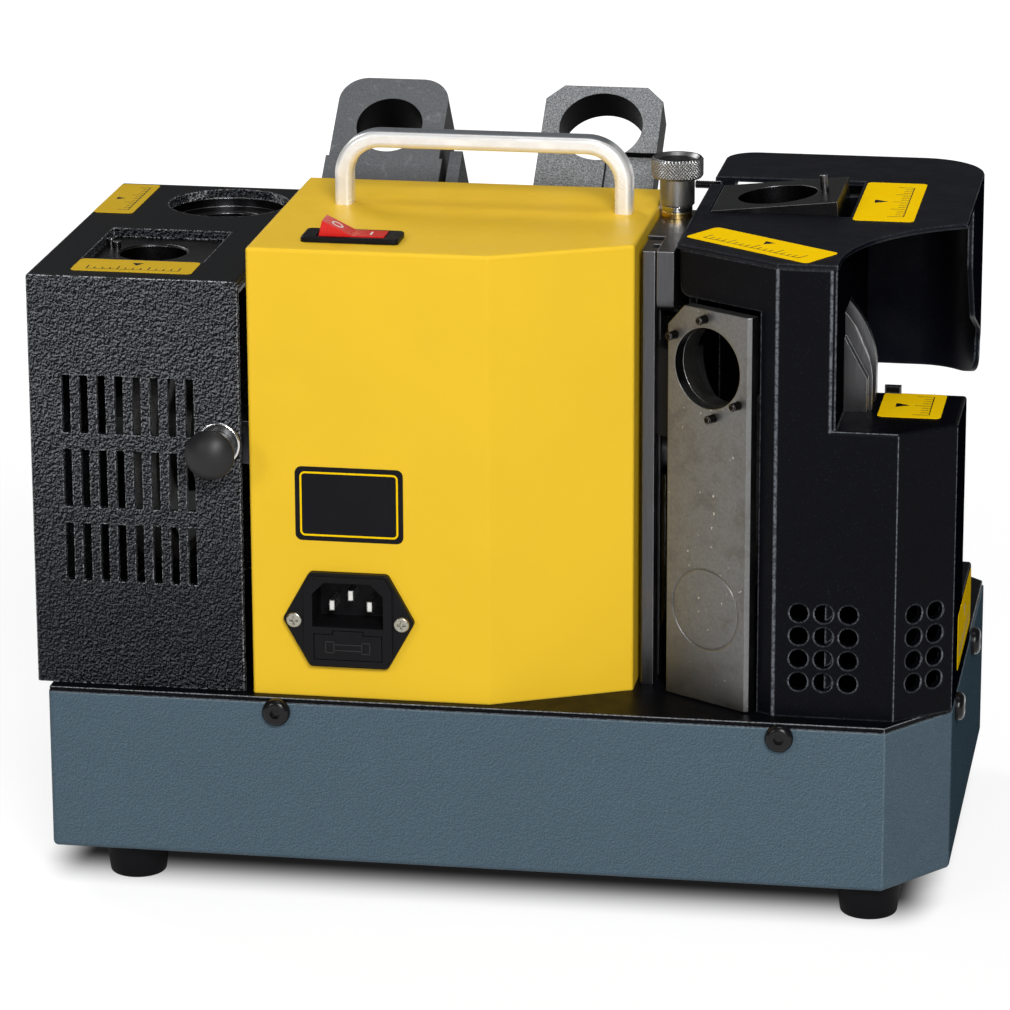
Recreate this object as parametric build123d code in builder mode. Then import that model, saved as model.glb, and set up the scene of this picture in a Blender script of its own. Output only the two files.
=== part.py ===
"""Bench grinder for twist drills and end mills: two wheel stations on one motor shaft.

Millimetres, +Z up, +X to the right and +Y away from the mains inlet, towards the user.
The origin is on the floor, under the middle of the whole machine.
"""
from build123d import *
from math import cos, radians, sin, sqrt, tan
import os

# Base box and feet
BASE_DEPTH = 188.0
TRAY_H = 61.0
TRAY_WALL = 3.0
DECK_T = 2.0
DECK_INSET = 0.6
CORNER_X = 22.1
CORNER_Y = 28.6
BACK_CORNER = 5.0
TRAY_ROUND = 2.0
PANEL_SEAM = 0.15
FOOT_H = 14.0
FOOT_R = 12.4
FOOT_TIP_R = 10.4
FOOT_INSET_X = 28.5
FOOT_INSET_Y = 18.0
FOOT_BOSS_R = 7.0
FOOT_BOSS_H = 9.0
FOOT_SCREW_R = 2.5
FOOT_HEAD_R = 4.5
FOOT_HEAD_H = 3.0
FOOT_RECESS = 8.0
FOOT_HEAD_ROOM = 0.5
FOOT_ROUND = 1.2

# Button-head screws that hold the deck to the tray
BUTTON_R = 5.2
BUTTON_H = 3.3
BUTTON_SHANK_R = 3.0
BUTTON_ROUND = 2.2
BUTTON_SOCKET_R = 2.0
BUTTON_SOCKET_DEPTH = 1.8
BUTTON_DROP = 5.2
FRONT_SCREW_INSET_LEFT = 86.6
FRONT_SCREW_INSET_RIGHT = 60.4
END_SCREW_INSET_FRONT = 45.0
END_SCREW_INSET_BACK = 65.5
TAB_W = 18.0
TAB_H = 11.0
TAB_T = 2.5
STRIP_T = 1.5
STRIP_FIT = 0.15
STRIP_SETBACK = 4.0
STRIP_DROP = 8.0

# Left wheel box
COVER_OVERHANG = 5.4
COVER_W = 78.9
COVER_D = 148.6
COVER_DROP = 13.1
COVER_SETBACK = 6.2
COVER_WALL = 2.5
COVER_TOP_T = 3.4
COVER_ROUND = 1.4
VENT_COLUMNS = 8
VENT_ROWS = 3
VENT_W = 3.3
VENT_H = 22.1
VENT_PITCH = 6.6
VENT_PITCH_Z = 28.2
VENT_LEFT = 14.0
VENT_LIFT = 40.0
WINDOW_X = 14.9
WINDOW_W = 45.5
WINDOW_Y = 26.4
WINDOW_D = 48.0
HOLDER_RIM = 4.0
LEFT_BORE_R = 12.5
LEFT_BORE_X = 20.5
LEFT_BORE_Y = 26.0
LEFT_PIN_R = 1.5
LEFT_PIN_RISE = 3.0
LEFT_PIN_SPOTS = ((2.6, 33.5), (6.0, 29.0))
PIN_DEPTH = 8.0
BORE_CHAMFER = 0.6
PORT_FROM_EDGE = 30.0
PORT_FROM_BACK = 27.8
PORT_R = 23.0
PORT_SINK = 3.4
REAR_BORE_R = 14.0
REAR_HOLDER_H = 20.0
REAR_HOLDER_RIM = 2.0

# Latch of the left wheel box
LATCH_FROM_EDGE = 7.9
LATCH_DROP = 60.9
LATCH_KNOB_R = 10.3
LATCH_KNOB_L = 18.0
LATCH_KNOB_ROUND = 0.8
LATCH_WAIST_R = 5.2
LATCH_WAIST_L = 9.1
LATCH_BRIM_L = 12.1
LATCH_CLEAR = 0.3
LATCH_STEM_R = 3.0
LATCH_RING_R = 8.3
LATCH_RING_T = 2.2
LATCH_RING_ROUND = 0.8
TONGUE_L = 8.0
TONGUE_W = 7.0
TONGUE_T = 3.0
TONGUE_GAP = 0.3
CATCH_T = 2.5
CATCH_CLEAR = 0.4
CATCH_FOOT = 14.0
CATCH_W = 16.0

# Motor case
CASE_GAP = 3.4
CASE_W = 138.0
CASE_H = 168.9
CASE_SETBACK = 4.8
CASE_WALL = 2.0
CASE_FLAT = 88.3
CASE_SLOPE = 24.7
CASE_ROUND = 1.2
SHAFT_HOLE_R = 16.0
PANEL_LUG = 11.0
PANEL_LUG_T = 3.0
PANEL_SCREW_R = 2.0
PANEL_HEAD_R = 3.6
PANEL_HEAD_H = 2.2
PANEL_SLOTS = 9
PANEL_SLOT_W = 3.2
PANEL_SLOT_H = 34.0
PANEL_SLOT_PITCH = 8.0

# Carry handle
HANDLE_X = 21.9
HANDLE_FROM_EDGE = 11.0
HANDLE_Y = 75.2
HANDLE_RISE = 25.2
HANDLE_BAR = 6.5
HANDLE_DEPTH = 9.5
HANDLE_ROUND = 2.2
HANDLE_BEND = 14.0
HANDLE_SCREW_R = 2.0
HANDLE_SCREW_L = 10.0
HANDLE_HEAD_R = 4.0
HANDLE_HEAD_H = 2.6

# Rocker switch
SWITCH_X = 35.8
SWITCH_Y = 18.7
SWITCH_L = 36.0
SWITCH_W = 15.0
SWITCH_RIM_H = 2.0
SWITCH_ROUND = 2.0
SWITCH_RIM_ROUND = 0.7
SWITCH_BODY_L = 28.8
SWITCH_BODY_W = 13.6
SWITCH_BODY_H = 22.0
SWITCH_WALL = 1.6
ROCKER_GAP = 0.5
ROCKER_END_GAP = 1.1
ROCKER_TILT = 13.0
ROCKER_RISE = 5.1
ROCKER_HOLLOW = 2.7
ROCKER_LIP = 1.5
ROCKER_FOOT = 6.0
ROCKER_DROP = 6.0
ROCKER_PIN_R = 1.5

# Mains inlet with its fuse drawer
INLET_X = 36.7
INLET_Z = 30.4
INLET_W = 49.0
INLET_H = 36.0
INLET_TOP_W = 29.0
INLET_FLANGE_T = 3.0
INLET_ROUND = 2.0
INLET_EDGE = 0.6
INLET_BOSS_W = 33.0
INLET_BOSS_T = 1.2
INLET_BOSS_EDGE = 0.4
INLET_BODY_W = 31.0
INLET_BODY_H = 32.0
INLET_BODY_D = 19.0
SOCKET_W = 26.4
SOCKET_H = 17.0
SOCKET_DEPTH = 15.0
SOCKET_LIFT = 6.3
SOCKET_CHAMFER = 4.5
BLADE_W = 2.0
BLADE_H = 4.0
BLADE_L = 10.0
BLADE_PITCH = 14.0
EARTH_LIFT = 4.0
INLET_SCREW_PITCH = 40.0
INLET_SCREW_R = 1.5
INLET_HEAD_R = 2.9
INLET_HEAD_H = 1.6
INLET_SCREW_L = 9.0
DRAWER_W = 25.0
DRAWER_H = 9.4
DRAWER_L = 17.0
DRAWER_SINK = 9.8
DRAWER_GAP = 0.3
DRAWER_WALL = 1.4
DRAWER_FACE_T = 2.0
DRAWER_TAB_W = 11.0
DRAWER_TAB_H = 1.5
FUSE_R = 2.6
FUSE_L = 20.0

# Motor
SHAFT_DROP = 86.9
MOTOR_R = 45.0
MOTOR_GAP = 2.5
FRAME_T = 3.5
BELL_T = 10.0
BELL_HUB_R = 26.0
BELL_HUB_L = 5.0
BELL_LIP_R = 13.5
BELL_ROUND = 3.0
CORE_BORE_R = 27.5
WINDING_L = 8.0
WINDING_ROOM = 4.0
WINDING_T = 12.0
WINDING_EDGE = 1.0
WINDING_ROUND = 3.0
AIR_GAP = 0.7
BEARING_R = 21.0
BEARING_W = 12.0
BEARING_SET_IN = 1.0
BEARING_CHAMFER = 0.6
RACE_T = 3.0
SHIELD_DEPTH = 0.5
FAN_R = 36.0
FAN_W = 7.0
FAN_HUB_R = 15.0
FAN_BLADES = 9
FAN_BLADE_T = 2.0
FAN_BLADE_EDGE = 0.6
FAN_PLATE_T = 1.2
FAN_GAP = 1.5
FAN_ROOM = 3.5
CRADLE_T = 4.0
CRADLE_W = 66.0
CRADLE_INSET = 14.0
CRADLE_BASE_T = 3.0
CAPACITOR_R = 11.0
CAPACITOR_L = 34.0
CAPACITOR_GAP = 5.0
CAPACITOR_SETBACK = 3.2
CAPACITOR_ROUND = 1.5
CLIP_T = 1.5
CLIP_W = 14.0
CLIP_FOOT = 2.5
CLIP_MOUTH = 0.75

# Shaft and grinding wheels
BEARING_SEAT_R = 10.0
ROTOR_SEAT_R = 11.0
WHEEL_SEAT_R = 8.0
THREAD_R = 6.0
RUN_CLEAR = 0.04
SHAFT_FLOAT = 0.3
SHAFT_CHAMFER = 1.0
WHEEL_R = 50.0
WHEEL_W = 16.0
RIM_T = 7.0
RIM_W = 12.0
FLANGE_R = 24.0
FLANGE_T = 5.0
NUT_AF = 19.0
NUT_H = 8.0
NUT_STICKOUT = 2.0
LEFT_WHEEL_X = 38.0
RIGHT_WHEEL_X = 31.0
WHEEL_CLEAR = 2.2
WHEEL_SETBACK = 20.0
WHEEL_ROOM = 5.0
NUT_ROOM = 2.4

# Vertical slide with its rail, bracket, screw and knob
RAIL_GAP = 1.3
RAIL_T = 5.7
RAIL_SETBACK = 37.4
RAIL_D = 17.3
RAIL_DROP = 4.1
RAIL_GROOVE_W = 6.0
RAIL_GROOVE_D = 2.6
RAIL_CHAMFER = 0.8
SLIDE_GAP = 0.1
ARM_T = 7.3
HOUSE_GAP = 1.7
BRACKET_T = 6.2
BRACKET_H = 22.8
BRACKET_ROUND = 5.0
BRACKET_HEAD_D = 43.0
BRACKET_NECK_D = 24.0
BRACKET_WALL_GAP = 0.5
KNOB_Y = 93.7
LEAD_R = 4.0
LEAD_CLEAR = 0.05
COLLAR_R = 6.0
COLLAR_H = 5.0
WASHER_R = 5.75
WASHER_BRASS_T = 2.3
WASHER_STEEL_T = 2.2
NECK_R = 6.5
NECK_H = 10.5
KNURL_R = 9.8
KNURL_H = 7.6
KNURL_DISH = 1.2
KNURL_LIP = 1.6
KNURL_CHAMFER = 0.8
LEAD_STICKOUT = 2.0
LEAD_CHAMFER = 0.8
SLIDE_TRAVEL = 6.0
ARM_H = 33.0
ARM_SETBACK = 1.6
BRIDGE_D = 16.0
NUT_WALL_GAP = 0.7
TONGUE_ROOM = 0.2
TONGUE_SIDE = 0.1
NUT_BLOCK_D = 19.0
COLLAR_ROOM = 2.0

# Sliding side plate with its chuck bore
SLANT = 32.0
PLATE_W = 37.8
PLATE_T = 4.5
PLATE_LIFT = 0.6
PLATE_TOP_GAP = 1.8
PLATE_GAP = 0.45
PLATE_JAMB = 8.2
PLATE_CUT_U = 7.5
PLATE_CUT_Z = 8.0
PLATE_BEVEL = 1.2
PLATE_BORE_R = 15.0
PLATE_BORE_U = 18.3
PLATE_BORE_DROP = 21.7
PLATE_PIN_R = 1.5
PLATE_PIN_RISE = 4.0
PLATE_PIN_CHAMFER = 0.4
PLATE_PIN_RING = 18.2
PLATE_PIN_ANGLES = (146.0, 94.0, -38.0, -80.5)
PLATE_MARK_Z = 36.0
PLATE_MARK_R = 15.5
PLATE_MARK_W = 0.6
PLATE_MARK_DEPTH = 0.3
SLEEVE_R = 17.0
SLEEVE_L = 8.0
SLEEVE_FIT = 0.05
SADDLE_DEPTH = 7.0
SADDLE_W = 20.5
SADDLE_EDGE = 0.5

# Right wheel housing
HOUSE_W = 102.0
HOUSE_SETBACK = 8.4
HOUSE_DROP = 1.5
HOUSE_WALL = 3.0
HOUSE_FLAT_X = 38.0
SHELF_DROP = 59.0
SHELF_D = 55.6
STEP_H = 31.0
STEP_D = 45.0
HOUSE_CORNER_X = 20.0
HOUSE_CORNER_Y = 15.6
HOUSE_ROUND = 3.0
HOUSE_EDGE = 1.2
HOUSE_LAP = 10.0
FLAP_H = 17.0
FLAP_ROUND = 4.5
WINDOW_EDGE = 0.8
SHELF_TAB_X = 12.6
SHELF_TAB_W = 6.0
SHELF_TAB_T = 2.0
SHELF_TAB_H = 3.0
LEFT_CUT_D = 27.0
HOLE_R = 3.4
HOLE_PITCH_X = 9.0
HOLE_PITCH_Z = 8.7
HOLE_COLUMNS = 3
HOLE_ROWS = 4
HOLE_FROM_EDGE = 9.2
HOLE_LIFT = 13.7
CORNER_COLUMNS = 2
REST_W = 10.1
REST_FRONT = 26.6
REST_D = 25.0
REST_H = 36.2
REST_STRAIGHT = 12.5
REST_FACE_T = 4.0
REST_FACE_W = 8.6
REST_FACE_TOP_W = 0.4
REST_FACE_CUT_Z = 15.0
REST_FIT = 0.2
REST_ARC_R = 40.0
REST_TROUGH_R = 8.5
REST_TROUGH_GAP = 3.0
REST_LAP = 5.0
REST_TROUGH_LEAN = -23.0

# Sheet hood over the right housing
HOOD_T = 2.0
HOOD_EDGE = 1.0
HOOD_BACK_INSET = 2.0
HOOD_ARC_R = 70.0
HOOD_ARC_START = 7.0
HOOD_CORNER_R = 25.0
HOOD_LEFT_R = 12.0
HOOD_LEFT_LAP = 1.0
HOOD_RIGHT_INSET = 2.2
HOOD_SKIRT_BACK = 29.7
HOOD_SLOT_D = 14.0
HOOD_SKIRT_H = 80.3
HOOD_SKIRT_W = 71.0
HOOD_SWEEP_TOP = 22.0
HOOD_SWEEP_LOW = 60.9
HOOD_SWEEP_BACK = 57.5
HOOD_SWEEP_R = 10.0
HOOD_KNEE_LOW = 45.8
HOOD_KNEE_BACK = 19.0
HOOD_FOOT_R = 12.0

# Tilted chuck holder in the top of the right housing
TOP_TILT = 6.0
TOP_W = 47.0
TOP_D = 42.0
TOP_T = 18.0
TOP_LEFT = 4.6
TOP_RISE = 0.4
TOP_BORE_R = 15.0
TOP_BORE_U = 22.8
TOP_BORE_V = 20.0
TOP_PIN_R = 1.5
TOP_PIN_RISE = 5.8
TOP_PIN_U = 40.2
TOP_PIN_V = 22.0
POCKET_EDGE = 0.8
STOP_R = 1.6
STOP_L = 16.0
STOP_CHAMFER = 0.4
STOP_LUG = 6.0
STOP_LUG_X = 4.0
STOP_LUG_H = 7.0
STOP_Z_DROP = 2.2

# Leaning setting blocks on their posts
LEAN = 50.0
SETTING_BACK = 28.5
SETTING_FOOT = 30.0
SETTING_SHOULDER = 15.5
SETTING_SHOULDER_W = 1.2
LEFT_SETTING_X = 25.8
LEFT_SETTING_RISE = 14.9
LEFT_SETTING_W = 43.0
LEFT_SETTING_T = 24.0
LEFT_SETTING_TOP = 22.6
LEFT_SETTING_BORE_R = 12.8
LEFT_SETTING_ROUND = 11.0
RIGHT_SETTING_FROM_EDGE = 29.9
RIGHT_SETTING_RISE = 16.9
RIGHT_SETTING_W = 45.4
RIGHT_SETTING_T = 14.0
RIGHT_SETTING_TOP = 19.4
RIGHT_SETTING_BORE_R = 16.0
RIGHT_SETTING_CUT = 6.6
RIGHT_RECESS_X = 3.6
RIGHT_RECESS_H = 18.0
RIGHT_RECESS_DEPTH = 3.0
POST_W = 28.0
LEFT_POST_EXTRA = 14.0
EAR_GAP = 0.3
EAR_H = 26.0
EAR_SETBACK = 10.0
EAR_LAP = 6.0
POST_SEAT = 12.0
POST_REACH = 24.0
POST_FRONT = 16.0
POST_D = 24.0
POST_HEEL = 9.0
POST_TOE = 6.0
STOP_PLATE_T = 4.0
STOP_PLATE_W = 12.0
STOP_PLATE_RISE = 4.0
STOP_SCREW_R = 2.0
STOP_SCREW_RISE = 6.0
STOP_HEAD_R = 3.6
STOP_HEAD_H = 3.0
STOP_SCREW_L = 12.0
SCREW_FIT = 0.05

# Pan-head screws: rounding and cross recess, as shares of the head's own height and radius
PAN_ROUND = 0.45
CROSS_SPAN = 1.1
CROSS_WIDTH = 0.28
CROSS_DEPTH = 0.5

# Places along X, from the left end of the base to its right end
base_length = (COVER_W - COVER_OVERHANG + CASE_GAP + CASE_W + RAIL_GAP + RAIL_T + SLIDE_GAP
               + ARM_T + HOUSE_GAP + HOUSE_W)
base_x0 = -(base_length + BUTTON_H - COVER_OVERHANG) / 2
base_x1 = base_x0 + base_length
cover_x0 = base_x0 - COVER_OVERHANG
cover_x1 = cover_x0 + COVER_W
case_x0 = cover_x1 + CASE_GAP
case_x1 = case_x0 + CASE_W
rail_x0 = case_x1 + RAIL_GAP
rail_x1 = rail_x0 + RAIL_T
arm_x0 = rail_x1 + SLIDE_GAP
arm_x1 = arm_x0 + ARM_T
house_x0 = arm_x1 + HOUSE_GAP
house_x1 = house_x0 + HOUSE_W
right_wheel_x = house_x0 + RIGHT_WHEEL_X
seat_l = WHEEL_W + 2 * FLANGE_T
thread_l = NUT_H + NUT_STICKOUT
bay_x1 = right_wheel_x + seat_l / 2 + thread_l + NUT_ROOM + HOUSE_WALL
bracket_x1 = rail_x1 + BRACKET_T
knob_x = (case_x1 + BRACKET_WALL_GAP + bracket_x1) / 2

# Places along Y, from the inlet side of the base to the user's side
latch_out = LATCH_RING_T + LATCH_CLEAR + LATCH_KNOB_L
base_y0 = -(BASE_DEPTH + BUTTON_H + COVER_SETBACK - latch_out) / 2
base_y1 = base_y0 + BASE_DEPTH
cover_y0 = base_y0 + COVER_SETBACK
case_y0 = base_y0 + CASE_SETBACK
shaft_y = base_y0 + WHEEL_SETBACK + WHEEL_R
case_y1 = shaft_y + MOTOR_R + MOTOR_GAP + CASE_WALL
rail_y0 = base_y0 + RAIL_SETBACK
knob_y = base_y0 + KNOB_Y
house_y0 = base_y0 + HOUSE_SETBACK
slant_y = house_y0 + HOUSE_FLAT_X * tan(radians(SLANT))
bay_y1 = shaft_y + WHEEL_R + WHEEL_ROOM + HOUSE_WALL
shelf_y1 = house_y0 + SHELF_D
setting_y = case_y1 + SETTING_BACK

# Heights; all above the deck hang from the top of the motor case
tray_z0 = FOOT_H
tray_z1 = tray_z0 + TRAY_H
deck_z = tray_z1 + DECK_T
case_z1 = deck_z + CASE_H
cover_z1 = case_z1 - COVER_DROP
cover_h = cover_z1 - deck_z
shaft_z = case_z1 - SHAFT_DROP
rail_z1 = case_z1 - RAIL_DROP
rail_h = rail_z1 - deck_z
bracket_z0 = rail_z1 - BRACKET_H
house_z1 = case_z1 - HOUSE_DROP
house_h = house_z1 - deck_z
shelf_z = house_z1 - SHELF_DROP
shelf_h = shelf_z - deck_z
hood_z1 = house_z1 + HOOD_T
flap_lift = house_h - FLAP_H
plate_h = flap_lift - PLATE_LIFT - PLATE_TOP_GAP
plate_bore_z = PLATE_LIFT + plate_h - PLATE_BORE_DROP
left_setting_z = case_z1 + LEFT_SETTING_RISE
right_setting_z = case_z1 + RIGHT_SETTING_RISE
collar_z0 = bracket_z0 - SLIDE_GAP - COLLAR_H
nut_z1 = collar_z0 - COLLAR_ROOM - SLIDE_TRAVEL
nut_z0 = nut_z1 - ARM_H

# Alignments used again and again
FROM_BASE = (Align.CENTER, Align.CENTER, Align.MIN)
FROM_CORNER = (Align.MIN, Align.MIN, Align.MIN)
FROM_SIDE = (Align.MIN, Align.CENTER, Align.MIN)
LOW_LEFT = (Align.MIN, Align.MIN)


def level(z):
    """Level sketch plane at height z: X to the right, Y away, drawn upwards."""
    return Plane.XY.offset(z)


def upright(y):
    """Sketch plane facing the inlet side at depth y: X to the right, Z up, drawn towards -Y."""
    return Plane.XZ.offset(-y)


def endways(x):
    """Sketch plane facing right at place x: Y to the right, Z up, drawn towards +X."""
    return Plane.YZ.offset(x)


def along_x(x, y, z):
    """Place for a turned piece that stands along +X."""
    return Location((x, y, z), (0, 90, 0))


def along_back(x, y, z):
    """Place for a turned piece that stands along +Y."""
    return Location((x, y, z), (-90, 0, 0))


def along_front(x, y, z):
    """Place for a turned piece that stands along -Y."""
    return Location((x, y, z), (90, 0, 0))


def write(piece, name):
    """Label a finished piece and write it under its own name."""
    piece.part.label = name
    export_step(piece.part, f"parts/{name}.step")


def pan_screw(head_r, head_h, shank_r, shank_l):
    """One pan-head screw: its seat is at the origin, its head above and its shank below."""
    with BuildPart() as screw:
        Cylinder(head_r, head_h, align=FROM_BASE)
        fillet(screw.faces().sort_by(Axis.Z)[-1].edges(), PAN_ROUND * head_h)
        with BuildSketch(level(head_h)):
            Rectangle(CROSS_SPAN * head_r, CROSS_WIDTH * head_r)
            Rectangle(CROSS_WIDTH * head_r, CROSS_SPAN * head_r)
        extrude(amount=-CROSS_DEPTH * head_h, mode=Mode.SUBTRACT)
        with Locations((0, 0, -shank_l)):
            Cylinder(shank_r, shank_l, align=FROM_BASE)
    return screw.part


os.makedirs("parts", exist_ok=True)

# Base tray: open-topped box with a cut front corner and a boss for each foot screw
tray_outline = [
    (base_x0, base_y0),
    (base_x1 - CORNER_X, base_y0),
    (base_x1, base_y0 + CORNER_Y),
    (base_x1, base_y1 - BACK_CORNER),
    (base_x1 - BACK_CORNER, base_y1),
    (base_x0, base_y1),
]
foot_places = [
    (x, y)
    for x in (base_x0 + FOOT_INSET_X, base_x1 - FOOT_INSET_X)
    for y in (base_y0 + FOOT_INSET_Y, base_y1 - FOOT_INSET_Y)
]
button_z = deck_z - BUTTON_DROP
button_xs = (base_x0 + FRONT_SCREW_INSET_LEFT, base_x1 - FRONT_SCREW_INSET_RIGHT)
button_ys = (base_y0 + END_SCREW_INSET_FRONT, base_y1 - END_SCREW_INSET_BACK)
front_back_buttons = [along_front(x, base_y0, button_z) for x in button_xs]
front_back_buttons += [along_back(x, base_y1, button_z) for x in button_xs]
end_buttons = [along_x(base_x1, y, button_z) for y in button_ys]
end_buttons += [Location((base_x0, y, button_z), (0, -90, 0)) for y in button_ys]
button_places = front_back_buttons + end_buttons

# Base tray; its back wall is a loose panel that its two screws hold to the deck
panel_x0 = base_x0 + TRAY_WALL
panel_w = base_x1 - BACK_CORNER - TRAY_WALL * tan(radians(45 / 2)) - panel_x0
panel_h = TRAY_H - TRAY_WALL - PANEL_SEAM
with BuildPart() as base_tray:
    with BuildSketch(level(tray_z0)):
        Polygon(*tray_outline, align=None)
    extrude(amount=TRAY_H)
    tray_bottom = base_tray.faces().sort_by(Axis.Z)[0]
    fillet(base_tray.edges().filter_by(Axis.Z) + tray_bottom.edges(), TRAY_ROUND)
    with BuildSketch(level(tray_z0 + TRAY_WALL)):
        Polygon(*tray_outline, align=None)
        offset(amount=-TRAY_WALL, kind=Kind.INTERSECTION, mode=Mode.REPLACE)
    extrude(amount=TRAY_H, mode=Mode.SUBTRACT)
    with Locations(*[(x, y, tray_z0 + TRAY_WALL) for x, y in foot_places]):
        Cylinder(FOOT_BOSS_R, FOOT_BOSS_H, align=FROM_BASE)
    with Locations(*[(x, y, tray_z0) for x, y in foot_places]):
        Cylinder(FOOT_SCREW_R + SCREW_FIT, TRAY_WALL + FOOT_BOSS_H, align=FROM_BASE, mode=Mode.SUBTRACT)
    with Locations((panel_x0, base_y1 - TRAY_WALL, tray_z0 + TRAY_WALL)):
        Box(panel_w, TRAY_WALL, TRAY_H, align=FROM_CORNER, mode=Mode.SUBTRACT)
    with Locations((panel_x0 + PANEL_SEAM, base_y1 - TRAY_WALL, tray_z1 - panel_h)):
        Box(panel_w - 2 * PANEL_SEAM, TRAY_WALL, panel_h, align=FROM_CORNER)
    with Locations(*button_places):
        Cylinder(BUTTON_SHANK_R + SCREW_FIT, 4 * TRAY_WALL, mode=Mode.SUBTRACT)
write(base_tray, "base_tray")

# Deck plate with hanging tabs that the button-head screws go into, and an upright strip that closes
# the slide's bay at the back
tab_out = TRAY_WALL + TAB_T / 2
tab_xs = (base_x0 + tab_out, base_x1 - tab_out)
tab_ys = (base_y0 + tab_out, base_y1 - tab_out)
with BuildPart() as deck_plate:
    with BuildSketch(level(tray_z1)):
        Polygon(*tray_outline, align=None)
        offset(amount=-DECK_INSET, kind=Kind.INTERSECTION, mode=Mode.REPLACE)
    extrude(amount=DECK_T)
    with Locations(*[(x, y, tray_z1 - TAB_H) for x in button_xs for y in tab_ys]):
        Box(TAB_W, TAB_T, TAB_H, align=FROM_BASE)
    with Locations(*[(x, y, tray_z1 - TAB_H) for x in tab_xs for y in button_ys]):
        Box(TAB_T, TAB_W, TAB_H, align=FROM_BASE)
    with Locations(*button_places):
        Cylinder(BUTTON_SHANK_R + SCREW_FIT, 4 * (TRAY_WALL + TAB_T), mode=Mode.SUBTRACT)
    with Locations((case_x1 + STRIP_FIT, case_y1 - STRIP_SETBACK, deck_z + STRIP_FIT)):
        Box(house_x0 - case_x1 - 2 * STRIP_FIT, STRIP_T, house_h - STRIP_DROP, align=FROM_CORNER)
write(deck_plate, "deck_plate")

# Button-head screws with a hexagon socket
with BuildPart() as button_screw:
    Cylinder(BUTTON_R, BUTTON_H, align=FROM_BASE)
    fillet(button_screw.faces().sort_by(Axis.Z)[-1].edges(), BUTTON_ROUND)
    with BuildSketch(level(BUTTON_H)):
        RegularPolygon(BUTTON_SOCKET_R, 6)
    extrude(amount=-BUTTON_SOCKET_DEPTH, mode=Mode.SUBTRACT)
    with Locations((0, 0, -TRAY_WALL - TAB_T)):
        Cylinder(BUTTON_SHANK_R, TRAY_WALL + TAB_T, align=FROM_BASE)
with BuildPart() as base_screws:
    with Locations(*button_places):
        add(button_screw.part)
write(base_screws, "base_screws")

# Rubber feet and the screws that hold them
with BuildPart() as one_foot:
    Cone(FOOT_TIP_R, FOOT_R, FOOT_H, align=FROM_BASE)
    fillet(one_foot.faces().sort_by(Axis.Z)[0].edges(), FOOT_ROUND)
    Cylinder(FOOT_HEAD_R + FOOT_HEAD_ROOM, FOOT_RECESS, align=FROM_BASE, mode=Mode.SUBTRACT)
    Cylinder(FOOT_SCREW_R + SCREW_FIT, FOOT_H, align=FROM_BASE, mode=Mode.SUBTRACT)
with BuildPart() as rubber_feet:
    with Locations(*foot_places):
        add(one_foot.part)
write(rubber_feet, "rubber_feet")

foot_screw_l = FOOT_H - FOOT_RECESS + TRAY_WALL + FOOT_BOSS_H
foot_screw = pan_screw(FOOT_HEAD_R, FOOT_HEAD_H, FOOT_SCREW_R, foot_screw_l)
with BuildPart() as foot_screws:
    with Locations(*[Location((x, y, FOOT_RECESS), (180, 0, 0)) for x, y in foot_places]):
        add(foot_screw)
write(foot_screws, "foot_screws")

# Left wheel box: a cover open below and towards the motor case
window_x0 = cover_x0 + WINDOW_X
window_y0 = cover_y0 + WINDOW_Y
port_x = cover_x1 - PORT_FROM_EDGE
port_y = cover_y0 + COVER_D - PORT_FROM_BACK
latch_x = cover_x1 - LATCH_FROM_EDGE
latch_z = cover_z1 - LATCH_DROP
cover_ceiling = cover_z1 - COVER_TOP_T
vent_x = cover_x0 + VENT_LEFT + (VENT_COLUMNS - 1) * VENT_PITCH / 2
vent_z = deck_z + VENT_LIFT + VENT_H / 2 + (VENT_ROWS - 1) * VENT_PITCH_Z / 2

with BuildPart() as left_cover:
    with Locations((cover_x0, cover_y0, deck_z)):
        Box(COVER_W, COVER_D, cover_h, align=FROM_CORNER)
    cover_top = left_cover.faces().sort_by(Axis.Z)[-1]
    fillet(left_cover.edges().filter_by(Axis.Z) + cover_top.edges(), COVER_ROUND)
    with Locations((cover_x0 + COVER_WALL, cover_y0 + COVER_WALL, deck_z)):
        Box(COVER_W, COVER_D - 2 * COVER_WALL, cover_h - COVER_TOP_T, align=FROM_CORNER, mode=Mode.SUBTRACT)
    with Locations((window_x0, window_y0, cover_ceiling)):
        Box(WINDOW_W, WINDOW_D, COVER_TOP_T, align=FROM_CORNER, mode=Mode.SUBTRACT)
    with Locations((port_x, port_y, cover_ceiling)):
        Cylinder(PORT_R, COVER_TOP_T, align=FROM_BASE, mode=Mode.SUBTRACT)
    with BuildSketch(upright(cover_y0)):
        with Locations((vent_x, vent_z)):
            with GridLocations(VENT_PITCH, VENT_PITCH_Z, VENT_COLUMNS, VENT_ROWS):
                Rectangle(VENT_W, VENT_H)
    extrude(amount=-COVER_WALL, mode=Mode.SUBTRACT)
    with Locations(along_back(latch_x, cover_y0, latch_z)):
        Cylinder(LATCH_STEM_R + LATCH_CLEAR, COVER_WALL, align=FROM_BASE, mode=Mode.SUBTRACT)
write(left_cover, "left_cover")

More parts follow.
